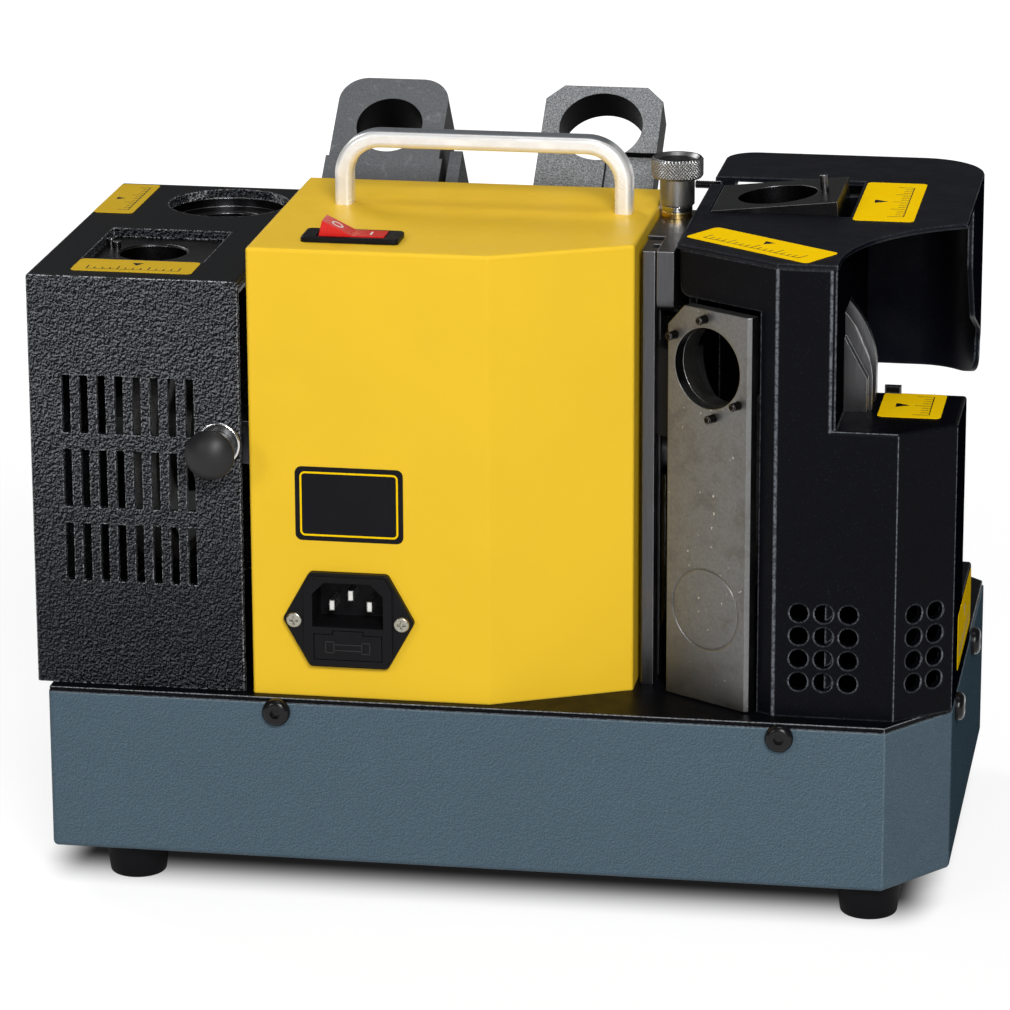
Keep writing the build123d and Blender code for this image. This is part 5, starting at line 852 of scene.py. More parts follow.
ROCKER_RED = Moulded(
    "rocker_red", (0.66, 0.014, 0.012), roughness=0.30, tooth_mm=0.5, tooth_depth_mm=0.004, edge_mm=0.35,
    coat=0.1,
)
ZINC = Steel(
    "zinc_screws", (0.40, 0.38, 0.32), (0.28, 0.25, 0.18), roughness=0.30, edge_colour=(0.16, 0.15, 0.12),
    edge_mm=0.35,
)
# Its dark edge colour paints shade on the rounded pin tips.
PIN_PLATE = Steel(
    "pin_plate", (0.80, 0.79, 0.76), (0.5, 0.46, 0.4), roughness=0.26, edge_colour=(0.06, 0.055, 0.05),
    edge_mm=0.8, edge_share=1.0,
)
MOTOR_METAL = Steel(
    "motor_metal", (0.42, 0.43, 0.44), (0.30, 0.28, 0.26), roughness=0.45, line_depth_mm=0.03, metal=0.9,
)
# Painted shade: darker than bare steel, for the shade inside the covers.
SHADED_BEARING = Steel("bearing_steel", (0.11, 0.11, 0.113), (0.12, 0.11, 0.10), grain=Grain.ALONG_X, edge_mm=0.3)
CORE = Stacked("core_steel", (0.30, 0.30, 0.31), (0.06, 0.06, 0.06), roughness=0.45)
COPPER = Stacked(
    "winding_copper", (0.72, 0.30, 0.11), (0.16, 0.05, 0.02), pitch_mm=0.7, roughness=0.35, metal=0.9,
)
SHEET_ZINC = Steel(
    "sheet_zinc", (0.58, 0.59, 0.60), (0.44, 0.44, 0.45), roughness=0.38, stain_mm=7.0, stain_share=0.5,
)
CAPACITOR = Moulded("capacitor_grey", (0.36, 0.37, 0.38), roughness=0.45)
FAN = Moulded("fan_black", (0.02, 0.02, 0.022))
# Painted shade: a near black tone in place of bare aluminium, for the shade inside the cover.
SHADED_HUB = Steel("hub_aluminium", (0.06, 0.06, 0.063), (0.06, 0.06, 0.06), roughness=0.42, line_mm=0.4)
# The grit is dark partly by its own colour and partly as painted shade inside the cover.
GRIT = Abrasive("abrasive", (0.022, 0.021, 0.021), (0.060, 0.057, 0.055))
CARRIAGE_BLACK = Moulded("carriage_black", (0.014, 0.014, 0.014), gloss=0.12)
GLASS = ClearGlass("fuse_glass")
LABEL_YELLOW = Moulded(
    "label_yellow", (1.0, 0.63, 0.004), roughness=0.44, tooth_mm=0.5, tooth_depth_mm=0.004, edge_mm=0.05,
    gloss=0.0,
)
# Painted shade: a darker copy of the label yellow, for the labels on the left cover's top.
SHADED_LABEL = Moulded(
    "label_dull", (0.66, 0.42, 0.016), roughness=0.46, tooth_mm=0.5, tooth_depth_mm=0.004, edge_mm=0.05,
    gloss=0.06,
)
INK = Moulded(
    "label_ink", (0.006, 0.006, 0.006), roughness=0.45, tooth_mm=0.5, tooth_depth_mm=0.003, edge_mm=0.02,
)
PLATE_BLACK = Moulded(
    "plate_black", (0.005, 0.005, 0.007), roughness=0.38, tooth_mm=0.5, tooth_depth_mm=0.006, edge_mm=0.08,
    gloss=0.10,
)
MARK_WHITE = Moulded(
    "mark_white", (0.75, 0.73, 0.70), roughness=0.45, tooth_mm=0.5, tooth_depth_mm=0.004, edge_mm=0.03,
)


def skin(name: str, points: np.ndarray, wrap_rows: bool = False) -> bpy.types.Object:
    """Make one mesh from a stack of grids.

    Vertex (g, i, j) is points[g, i, j]. Neighbours along i and j are joined by quads, j always
    closes on itself and i does if asked. A row that shrinks to one point closes an end.

    Args:
        name: the piece's name.
        points: array of grids, rows, columns and 3, in metres.
        wrap_rows: whether the last row joins the first.

    Returns:
        The new object, at the origin, with its normals outwards.
    """
    stacks, rows, columns = points.shape[:3]
    grid = np.arange(stacks * rows * columns).reshape(stacks, rows, columns)
    near = grid if wrap_rows else grid[:, :-1]
    far = np.roll(grid, -1, 1) if wrap_rows else grid[:, 1:]
    quads = np.stack([near, np.roll(near, -1, 2), np.roll(far, -1, 2), far], -1).reshape(-1, 4)
    mesh = bpy.data.meshes.new(name)
    mesh.from_pydata(points.reshape(-1, 3).tolist(), [], quads.tolist())
    work = bmesh.new()
    work.from_mesh(mesh)
    bmesh.ops.remove_doubles(work, verts=work.verts, dist=MERGE)
    bmesh.ops.dissolve_degenerate(work, edges=work.edges, dist=SLIVER)
    bmesh.ops.recalc_face_normals(work, faces=work.faces)
    work.to_mesh(mesh)
    work.free()
    mesh.polygons.foreach_set("use_smooth", np.ones(len(mesh.polygons), bool))
    mesh.set_sharp_from_angle(angle=radians(SHARP))
    piece = bpy.data.objects.new(name, mesh)
    bpy.context.scene.collection.objects.link(piece)
    return piece


def attach(piece: bpy.types.Object, body: Body, finish: Finish,
           stands_for: Optional[str] = None) -> None:
    """Give a new piece its finish and let it ride its body.

    Args:
        piece: the new object.
        body: the body that carries it.
        finish: its finish.
        stands_for: the node it replaces, if any.
    """
    piece.data.materials.append(finish.material())
    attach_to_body(piece, body.value)
    if stands_for:
        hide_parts(stands_for)
    LOG.info("piece %s: %d faces, rides %s", piece.name, len(piece.data.polygons), body.value)


@dataclass(frozen=True)
class Face:
    """A flat place on the machine: an origin and two directions along it, in millimetres."""

    origin: Way
    across: Way
    up: Way

    def lay(self, local: np.ndarray) -> np.ndarray:
        """Carry points of the face into the row frame.

        Each point is the origin plus its three numbers times the directions across, up and out.

        Args:
            local: points across, up and out of the face, in millimetres.

        Returns:
            The same points in the row frame, in metres.
        """
        u = np.array(self.across) / np.linalg.norm(self.across)
        v = np.array(self.up) - np.dot(self.up, u) * u
        v = v / np.linalg.norm(v)
        axes = np.stack([u, v, np.cross(u, v)])
        return (np.array(self.origin) + local @ axes) * MM


def in_mm(box: Sequence[Sequence[float]]) -> tuple[np.ndarray, np.ndarray]:
    """Return a box's low and high corners in millimetres."""
    low, high = (np.array(corner) / MM for corner in box)
    return low, high


def rect_corners(rect: Rect) -> tuple[Pair, ...]:
    """Return a rectangle's corners, anticlockwise from its low one."""
    x0, y0, x1, y1 = rect
    return (x0, y0), (x1, y0), (x1, y1), (x0, y1)


def turned_corners(rect: Rect) -> tuple[Pair, ...]:
    """Return the corners of a rectangle on a face that runs along its Y, with its X downwards."""
    x0, y0, x1, y1 = rect
    return rect_corners((y0, -x1, y1, -x0))


def straight(radius: float, heights: np.ndarray) -> np.ndarray:
    """Return the rows of a turned profile that keeps one radius at these heights."""
    return np.stack([np.full(len(heights), radius), heights], 1)


def rounded_outline(corners: np.ndarray, radius: float, steps: int = 6) -> np.ndarray:
    """Round every corner of a convex outline.

    Each corner becomes an arc about the point that lies one radius inside both of its sides; the
    arc turns from the one side's outward direction to the other's.

    Args:
        corners: corners in order, n by 2, anticlockwise.
        radius: radius of the arcs.
        steps: points on each arc.

    Returns:
        Outline points, n * steps by 2.
    """
    ahead = np.roll(corners, -1, 0) - corners
    ahead = ahead / np.linalg.norm(ahead, axis=1, keepdims=True)
    behind = np.roll(ahead, 1, 0)
    out_in = np.stack([behind[:, 1], -behind[:, 0]], 1)
    out_on = np.stack([ahead[:, 1], -ahead[:, 0]], 1)
    half = (out_in + out_on) / (1.0 + (out_in * out_on).sum(1, keepdims=True))
    centre = corners - radius * half
    start = np.arctan2(out_in[:, 1], out_in[:, 0])
    turn = np.arctan2(out_on[:, 1], out_on[:, 0]) - start
    turn = np.mod(turn, 2 * pi)
    angle = start[:, None] + turn[:, None] * np.linspace(0, 1, steps)[None]
    arc = np.stack([np.cos(angle), np.sin(angle)], -1) * radius
    return (centre[:, None] + arc).reshape(-1, 2)


def flat_plate(outline: np.ndarray, thickness: float, edge: float = 0.05) -> np.ndarray:
    """Thin plate over an outline.

    Rows go from the middle of the underside out to the outline, up its edge, in by a small bevel
    and back to the middle of the top: each row is the outline scaled about its middle, at one height.

    Args:
        outline: outline points, n by 2, in millimetres.
        thickness: thickness of the plate.
        edge: width of the bevel.

    Returns:
        One grid of local points, 1 by 6 by n by 3.
    """
    middle = outline.mean(0)
    reach = np.abs(outline - middle).max()
    inner = 1.0 - edge / reach
    shares = np.array([0.0, 1.0, 1.0, inner, inner * 0.5, 0.0])
    heights = np.array([0.0, 0.0, thickness - edge, thickness, thickness, thickness])
    flat = middle + shares[:, None, None] * (outline - middle)[None]
    tall = np.broadcast_to(heights[:, None, None], (len(shares), len(outline), 1))
    return np.concatenate([flat, tall], -1)[None]


def bars(boxes: Sequence[Sequence[float]], thickness: float, lift: float = 0.0) -> np.ndarray:
    """Several upright-sided bars at once, each a low box whose four corners are its columns.

    Args:
        boxes: low and high corners of each bar: left, bottom, right, top, in millimetres.
        thickness: height of the bars.
        lift: height of their undersides.

    Returns:
        One grid for each bar, n by 4 by 4 by 3.
    """
    low_high = np.array(boxes, float)
    xs = low_high[:, [0, 2, 2, 0]]
    ys = low_high[:, [1, 1, 3, 3]]
    ring = np.stack([xs, ys], -1)
    middle = ring.mean(1, keepdims=True) * np.ones_like(ring)
    flat = np.stack([middle, ring, ring, middle], 1)
    heights = lift + np.array([0.0, 0.0, thickness, thickness])
    tall = np.broadcast_to(heights[None, :, None, None], (*flat.shape[:3], 1))
    return np.concatenate([flat, tall], -1)


def turned(profile: np.ndarray, columns: int, swell: Optional[np.ndarray] = None) -> np.ndarray:
    """Turned piece about its own third axis.

    The point at row i and column j lies at the profile's radius, plus the swell there, round the
    axis by the share j of a full turn, at the profile's height.

    Args:
        profile: radius and height of each row, n by 2.
        columns: points round the axis.
        swell: radius to add at each row and column.

    Returns:
        One grid of local points, 1 by n by columns by 3.
    """
    angle = np.arange(columns) * (2 * pi / columns)
    radius = np.repeat(profile[:, :1], columns, 1)
    if swell is not None:
        radius = radius + swell
    height = np.repeat(profile[:, 1:], columns, 1)
    return np.stack([radius * np.cos(angle), radius * np.sin(angle), height], -1)[None]


def saw(value: np.ndarray) -> np.ndarray:
    """Triangle wave of period 1: 0 at whole numbers and 1 half way between them."""
    return 1.0 - np.abs(2.0 * np.mod(value, 1.0) - 1.0)


def thread_swell(heights: np.ndarray, weight: np.ndarray, columns: int, pitch: float,
                 depth: float) -> np.ndarray:
    """Screw thread: the groove's depth is a triangle wave of height over pitch less the share of a turn.

    Args:
        heights: height of each row.
        weight: 1 on threaded rows, 0 on plain ones.
        columns: points round the axis.
        pitch: rise of the thread in one turn.
        depth: depth of the groove.

    Returns:
        Radius to add, rows by columns.
    """
    share = np.arange(columns)[None] / columns
    return -depth * weight[:, None] * saw(heights[:, None] / pitch - share)


@dataclass
class Assembly:
    """What every sub-assembly shares."""

    def dress(self, finishes: dict[Finish, str]) -> None:
        """Give each named node its finish.

        Args:
            finishes: names of the nodes, with spaces between them, for each finish.
        """
        for finish, names in finishes.items():
            for name in names.split():
                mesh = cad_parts[name].data
                mesh.materials.clear()
                mesh.materials.append(finish.material())
                LOG.info("node %s: %s", name, finish.name)


@dataclass
class Label(Assembly):
    """A thin sticker with rounded corners and a printed scale: ticks, a line and a pointer."""

    name: str
    face: Face
    corners: tuple[Pair, ...]
    ticks: int = 9
    finish: Finish = LABEL_YELLOW
    thickness: float = 0.16
    corner_r: float = 2.0
    print_t: float = 0.03
    print_sink: float = 0.01
    margin: float = 0.12
    foot: float = 0.20
    long_every: int = 4
    tick_shares: Pair = (0.26, 0.14)
    tick_half: float = 0.22
    line_w: float = 0.35
    pointer_rise: float = 0.34
    pointer_share: float = 0.22
    pointer_half: float = 0.55
    pointer_r: float = 0.12
    pointer_edge: float = 0.01

    def build(self) -> None:
        """Build the sticker, its row of ticks with a line under it, and its pointer."""
        outline = np.array(self.corners, float)
        sheet = flat_plate(rounded_outline(outline, self.corner_r), self.thickness)
        attach(skin(f"{self.name}_sheet", self.face.lay(sheet)), Body.MACHINE, self.finish)
        low, high = outline.min(0), outline.max(0)
        wide, tall = high - low
        lift = self.thickness - self.print_sink
        half = self.tick_half
        xs = np.linspace(low[0] + self.margin * wide, high[0] - self.margin * wide, self.ticks)
        foot = low[1] + self.foot * tall
        tops = foot + tall * np.where(np.arange(self.ticks) % self.long_every == 0, *self.tick_shares)
        ruler = [(x - half, foot, x + half, top) for x, top in zip(xs, tops)]
        ruler.append((xs[0] - half, foot - self.line_w, xs[-1] + half, foot))
        scale = self.face.lay(bars(ruler, self.print_t, lift))
        attach(skin(f"{self.name}_ticks", scale), Body.MACHINE, INK)
        tip = np.array([(low[0] + high[0]) / 2, foot + self.pointer_rise * tall])
        shape = np.array([(0.0, 0.0), (self.pointer_half, 1.0), (-self.pointer_half, 1.0)])
        arrow = rounded_outline(tip + self.pointer_share * tall * shape, self.pointer_r, 3)
        points = flat_plate(arrow, self.print_t, self.pointer_edge) + np.array([0, 0, lift])
        attach(skin(f"{self.name}_pointer", self.face.lay(points)), Body.MACHINE, INK)


@dataclass
class BaseBox(Assembly):
    """Blue-grey base box with its deck, screws and feet."""

    def build(self) -> None:
        """Dress the base; its shapes are all in the solids."""
        self.dress({
            BLUE_GREY: "base_tray",
            DECK_BLACK: "deck_plate",
            BLACK_SCREW: "base_screws foot_screws",
            RUBBER: "rubber_feet",
        })


@dataclass
class LeftStation(Assembly):
    """Left wheel box with its chuck holders, latch and two labels; places from the box's low corner."""

    front_label: Rect = (14.8, 7.8, 60.0, 25.3)
    side_label: Rect = (0.9, 97.8, 16.4, 145.8)
    label_ticks: int = 13
    lip: Rect = (2.2, 2.2, 7.2, 146.4)
    lip_t: float = 0.8
    lip_lift: float = 0.1

    def build(self) -> None:
        """Dress the station, lay its labels on the top of the box and close the strip under its overhang."""
        self.dress({
            PEBBLED: "left_cover",
            HOLDER_BLACK: "left_holder_front left_holder_rear latch_catch",
            PIN_STEEL: "locating_pins",
            CHROME: "latch_ring",
            PHENOLIC: "latch_knob",
        })
        low, high = in_mm(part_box("left_cover"))
        top = (low[0], low[1], high[2])
        front, side = rect_corners(self.front_label), turned_corners(self.side_label)
        # These labels take the darker copy of the label yellow as painted shade.
        Label("front_label", Face(top, ACROSS, BACK), front, self.label_ticks, SHADED_LABEL).build()
        Label("side_label", Face(top, BACK, LEFT), side, self.label_ticks, SHADED_LABEL).build()
        lip = Face(tuple(low), ACROSS, BACK).lay(bars([self.lip], self.lip_t, self.lip_lift))
        attach(skin("cover_lip", lip), Body.MACHINE, PEBBLED)


@dataclass
class MotorUnit(Assembly):
    """Motor case with handle, switch, mains inlet and a bare plate on its front."""

    plate_centre: Pair = (37.0, 74.0)
    plate_size: Pair = (40.0, 28.0)
    plate_t: float = 0.4
    plate_r: float = 2.5
    plate_edge: float = 0.15
    line_inset: float = 1.8
    line_w: float = 0.7
    line_r: float = 1.9
    line_rise: float = 0.05
    sink: float = 0.02
    rocker_half: float = 11.7
    rocker_rise: float = 5.1
    rocker_hollow: float = 2.7
    rocker_tilt: float = 13.0
    mark_t: float = 0.12
    mark_shares: Pair = (0.55, 0.45)
    ring_r: float = 2.0
    ring_half: float = 0.32
    ring_grid: tuple[int, int] = (10, 40)
    bar_half: Pair = (0.35, 2.1)
    sign_tube: Pair = (5.2, 1.1)
    sign_cap: Pair = (8.2, 2.1)
    sign_rise: float = 4.7
    sign_half: float = 0.175
    sign_t: float = 0.22

    def build(self) -> None:
        """Dress the unit and build the plate, the switch marks and the drawer's moulded lines."""
        self.dress({
            YELLOW: "motor_case case_back_panel",
            BLACK_SCREW: "panel_screws handle_screws",
            ALUMINIUM: "carry_handle",
            SWITCH_BLACK: "switch_bezel power_inlet fuse_drawer",
            ROCKER_RED: "switch_rocker",
            ZINC: "inlet_screws",
            PIN_PLATE: "inlet_pins",
            GLASS: "fuse",
        })
        self.build_plate()
        self.build_switch_marks()
        self.build_drawer_lines()

    def build_plate(self) -> None:
        """Build the bare plate and the thin raised line inside its edge."""
        low, _ = in_mm(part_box("motor_case"))
        centre = low + np.array([self.plate_centre[0], 0.0, self.plate_centre[1]])
        face = Face(tuple(centre), ACROSS, UP)
        half = np.array(self.plate_size) / 2
        signs = np.array([(-1, -1), (1, -1), (1, 1), (-1, 1)])
        plate = flat_plate(rounded_outline(signs * half, self.plate_r), self.plate_t, self.plate_edge)
        attach(skin("front_plate", face.lay(plate)), Body.MACHINE, PLATE_BLACK)
        outer = rounded_outline(signs * (half - self.line_inset), self.line_r)
        inner = rounded_outline(signs * (half - self.line_inset - self.line_w), self.line_r - self.line_w)
        foot, top = self.plate_t - self.sink, self.plate_t + self.line_rise
        rows = [(outer, foot), (outer, top), (inner, top), (inner, foot)]
        ring = np.stack([np.concatenate([o, np.full((len(o), 1), h)], 1) for o, h in rows])[None]
        attach(skin("front_plate_line", face.lay(ring), True), Body.MACHINE, LABEL_YELLOW)

    def build_switch_marks(self) -> None:
        """Build the ring on the raised half of the rocker and the bar on its pressed half."""
        low, high = in_mm(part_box("switch_bezel"))
        middle = (low + high) / 2
        case_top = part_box("motor_case")[1][2] / MM
        tilt = radians(self.rocker_tilt)
        turn = np.array([[cos(tilt), sin(tilt)], [-sin(tilt), cos(tilt)]])
        slope = np.arctan2(self.rocker_hollow, self.rocker_half)
        out, down = self.mark_shares
        for side, name in ((-1, "switch_ring"), (1, "switch_bar")):
            mid = np.array([side * self.rocker_half * out, self.rocker_rise - self.rocker_hollow * down])
            along = np.array([cos(slope), side * sin(slope)])
            mid, along = turn @ mid, turn @ along
            origin = (middle[0] + mid[0], middle[1], case_top + mid[1])
            face = Face(origin, (along[0], 0, along[1]), BACK)
            if side < 0:
                rows, columns = self.ring_grid
                wave = np.linspace(0, 2 * pi, rows, endpoint=False)
                radii = self.ring_r + self.ring_half * np.cos(wave)
                hoop = np.stack([radii, self.sink + self.mark_t * np.sin(wave)], 1)
                piece = skin(name, face.lay(turned(hoop, columns)), True)
            else:
                x, y = self.bar_half
                piece = skin(name, face.lay(bars([(-x, -y, x, y)], self.mark_t, -self.sink)))
            attach(piece, Body.ROCKER, MARK_WHITE)

    def build_drawer_lines(self) -> None:
        """Build the moulded fuse sign on the drawer's face: a thin tube between two taller end caps."""
        low, high = in_mm(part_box("fuse_drawer"))
        face = Face(((low[0] + high[0]) / 2, low[1], low[2] + self.sign_rise), ACROSS, UP)
        half = self.sign_half
        tube_x, tube_y = self.sign_tube
        cap_x, cap_y = self.sign_cap
        sign = [(-tube_x, y - half, tube_x, y + half) for y in (-tube_y, tube_y)]
        for inner, outer in ((-cap_x, -tube_x), (tube_x, cap_x)):
            sign += [(inner - half, y - half, outer + half, y + half) for y in (-cap_y, cap_y)]
            sign += [(x - half, -cap_y, x + half, cap_y) for x in (inner, outer)]
        piece = skin("drawer_fuse_sign", face.lay(bars(sign, self.sign_t, -self.sink)))
        attach(piece, Body.DRAWER, SIGN_BLACK)


@dataclass
class FeedSlide(Assembly):
    """Vertical slide: rail, bracket, side plate, and the knurled knob on its threaded lead screw."""

    neck_r: float = 6.5
    neck_h: float = 10.5
    neck_chamfer: float = 0.4
    knurl_r: float = 9.8
    knurl_h: float = 7.6
    chamfer: float = 0.8
    dish: float = 1.2
    lip: float = 1.6
    bore_r: float = 4.05
    teeth: int = 46
    tooth_depth: float = 0.60
    tooth_columns: int = 10
    band_rows: int = 44
    screw_r: float = 4.0
    screw_chamfer: float = 0.8
    screw_rows: int = 340
    screw_columns: int = 48
    run_out: float = 2.0
    collar_r: float = 6.0
    collar_h: float = 5.0
    collar_z: float = 43.0
    collar_chamfer: float = 0.3
    pitch: float = 1.0
    thread_depth: float = 0.45

    def build(self) -> None:
        """Dress the slide and build the knob and the lead screw."""
        self.dress({
            BLACKENED: "slide_rail screw_bracket",
            CARRIAGE_BLACK: "carriage",
            BRASS: "knob_washers",
            CHROME: "lock_ring",
            KNOB_STEEL: "adjust_knob lead_screw",
            GROUND: "side_plate",
            SLEEVE: "chuck_sleeve",
            PLATE_PIN: "plate_pins",
        })
        self.build_knob()
        self.build_lead_screw()

    def build_knob(self) -> None:
        """Build the knob: a turned profile whose rim is cut by two crossing sets of slanted grooves.

        The rim's radius falls by the tooth depth times the larger of two triangle waves, one of
        turn plus height and one of turn less height, so that diamonds stand between the grooves.
        """
        low, high = in_mm(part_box("adjust_knob"))
        middle = (low + high) / 2
        neck_top, top = self.neck_h, self.neck_h + self.knurl_h
        rim_r, dish_r = self.knurl_r - self.chamfer, self.knurl_r - self.lip
        dish_z = top - self.dish
        below = [(0, neck_top), (self.bore_r, neck_top), (self.bore_r, 0),
                 (self.neck_r - self.neck_chamfer, 0), (self.neck_r, self.neck_chamfer),
                 (self.neck_r, neck_top), (rim_r, neck_top)]
        heights = np.linspace(neck_top + self.chamfer, top - self.chamfer, self.band_rows)
        band = straight(self.knurl_r, heights)
        above = [(rim_r, top), (dish_r, top), (dish_r - self.dish, dish_z),
                 (dish_r * 0.5, dish_z), (0, dish_z)]
        profile = np.concatenate([np.array(below, float), band, np.array(above, float)])
        columns = self.teeth * self.tooth_columns
        turn = self.teeth * np.arange(columns)[None] / columns
        rise = (profile[:, 1:] - neck_top) * self.teeth / (2 * pi * self.knurl_r)
        groove = np.maximum(1 - saw(turn + rise), 1 - saw(turn - rise))
        weight = np.zeros(len(profile))
        weight[len(below):len(below) + self.band_rows] = 1.0
        swell = -self.tooth_depth * weight[:, None] * groove
        face = Face((middle[0], middle[1], low[2]), ACROSS, BACK)
        knob = skin("knurled_knob", face.lay(turned(profile, columns, swell)))
        attach(knob, Body.ADJUSTER, KNOB_STEEL, "adjust_knob")

    def build_lead_screw(self) -> None:
        """Build the lead screw: threaded below its collar and plain above it."""
        low, high = in_mm(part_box("lead_screw"))
        middle, length = (low + high) / 2, high[2] - low[2]
        foot, top, cut = self.collar_z, self.collar_z + self.collar_h, self.collar_chamfer
        heights = np.linspace(self.screw_chamfer, foot, self.screw_rows)
        rest = [(self.collar_r - cut, foot), (self.collar_r, foot + cut), (self.collar_r, top - cut),
                (self.collar_r - cut, top), (self.screw_r, top), (self.screw_r, length), (0, length)]
        tip = [(0, 0), (self.screw_r - self.screw_chamfer, 0)]
        profile = np.concatenate([tip, straight(self.screw_r, heights), rest])
        fade = np.minimum(1, (foot - heights) / self.run_out)
        weight = np.concatenate([np.zeros(len(tip)), fade, np.zeros(len(rest))])
        swell = thread_swell(profile[:, 1], weight, self.screw_columns, self.pitch, self.thread_depth)
        face = Face((middle[0], middle[1], low[2]), ACROSS, BACK)
        screw = skin("threaded_lead_screw", face.lay(turned(profile, self.screw_columns, swell)))
        attach(screw, Body.ADJUSTER, KNOB_STEEL, "lead_screw")


@dataclass
class RightStation(Assembly):
    """Right wheel housing with hood, holder, rest, stop screw and labels; places from its low corner."""

    hood_label: tuple[Pair, ...] = ((0.35, 34.45), (48.05, 1.05), (58.05, 17.65), (10.05, 50.65))
    top_label: Rect = (57.5, 69.1, 80.0, 131.1)
    shelf_label: Rect = (72.05, 22.15, 94.95, 54.45)
    end_label: Rect = (36.6, 7.9, 98.6, 29.5)
    long_ticks: int = 17
    shelf_rise: float = 108.4
    stop_r: float = 1.6
    stop_chamfer: float = 0.4
    stop_pitch: float = 0.7
    stop_depth: float = 0.32
    stop_rows: int = 190
    stop_columns: int = 36
    run_out: float = 0.5

    def build(self) -> None:
        """Dress the station, thread the stop screw and lay the labels."""
        self.dress({
            HOUSE_BLACK: "right_housing",
            BLACK: "right_hood",
            HOLDER_BLACK: "top_holder",
            BLACKENED: "end_mill_rest",
            BLACK_SCREW: "stop_screw",
        })
        self.build_stop_screw()
        self.build_labels()

    def build_stop_screw(self) -> None:
        """Build the stop screw as a rod along X with a thread from end to end."""
        low, high = in_mm(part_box("stop_screw"))
        middle, length = (low + high) / 2, high[0] - low[0]
        cut, end_r = self.stop_chamfer, self.stop_r - self.stop_chamfer
        heights = np.linspace(cut, length - cut, self.stop_rows)
        rod = straight(self.stop_r, heights)
        profile = np.concatenate([[(0, 0), (end_r, 0)], rod, [(end_r, length), (0, length)]])
        fade = np.minimum(1, np.minimum(heights - cut, length - cut - heights) / self.run_out)
        weight = np.concatenate([[0, 0], fade, [0, 0]])
        swell = thread_swell(profile[:, 1], weight, self.stop_columns, self.stop_pitch, self.stop_depth)
        face = Face((low[0], middle[1], middle[2]), BACK, UP)
        screw = skin("threaded_stop_screw", face.lay(turned(profile, self.stop_columns, swell)))
        attach(screw, Body.MACHINE, BLACK_SCREW, "stop_screw")

    def build_labels(self) -> None:
        """Lay two labels on the hood, one on the shelf and one on the right end."""
        low, high = in_mm(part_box("right_housing"))
        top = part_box("right_hood")[1][2] / MM
        points = np.array(self.hood_label) + low[:2]
        along = points[1] - points[0]
        u = along / np.linalg.norm(along)
        local = (points - points[0]) @ np.array([[u[0], -u[1]], [u[1], u[0]]])
        face = Face((*points[0], top), (u[0], u[1], 0), (-u[1], u[0], 0))
        Label("hood_label", face, tuple(map(tuple, local)), self.long_ticks).build()
        face = Face((low[0], low[1], top), BACK, LEFT)
        Label("hood_top_label", face, turned_corners(self.top_label), self.long_ticks).build()
        face = Face((low[0], low[1], low[2] + self.shelf_rise), BACK, LEFT)
        Label("shelf_label", face, turned_corners(self.shelf_label)).build()
        face = Face((high[0], low[1], low[2]), BACK, UP)
        Label("end_label", face, rect_corners(self.end_label), self.long_ticks).build()


@dataclass
class SettingPair(Assembly):
    """The two leaning setting blocks on their posts."""

    def build(self) -> None:
        """Dress the blocks, posts, tip stops and screws."""
        self.dress({
            SMOOTH_PHOSPHATE: "setting_block_left setting_post_left",
            PHOSPHATE: "setting_block_right setting_post_right",
            SLEEVE: "tip_stops",
            BLACK_SCREW: "tip_stop_screws",
        })


@dataclass
class Drive(Assembly):
    """Motor, shaft and grinding wheels inside the covers."""

    def build(self) -> None:
        """Dress the pieces that turn and those that carry them; hubs, bearings, shaft, flanges and nuts take
        darkened tones as painted shade inside the covers.
        """
        self.dress({
            MOTOR_METAL: "motor_frame motor_end_bells",
            SHADED_BEARING: "ball_bearings motor_shaft wheel_flanges wheel_nuts",
            CORE: "stator_core rotor",
            COPPER: "stator_windings",
            SHEET_ZINC: "motor_cradle capacitor_clip",
            CAPACITOR: "run_capacitor",
            FAN: "cooling_fan",
            SHADED_HUB: "wheel_hubs",
            GRIT: "wheel_rims",
        })


@dataclass
class Lamp:
    """One soft box: where it stands, what it looks at, its size and its power."""

    name: str
    place: Way
    aim: Way
    size: Pair
    power: float

    def build(self) -> None:
        """Hang the lamp and turn it to its aim."""
        data = bpy.data.lights.new(self.name, "AREA")
        data.shape = "RECTANGLE"
        data.size, data.size_y = self.size
        data.energy = self.power
        lamp = bpy.data.objects.new(self.name, data)
        lamp.location = self.place
        sight = Vector(self.aim) - Vector(self.place)
        lamp.rotation_euler = sight.to_track_quat("-Z", "Y").to_euler()
        bpy.context.scene.collection.objects.link(lamp)


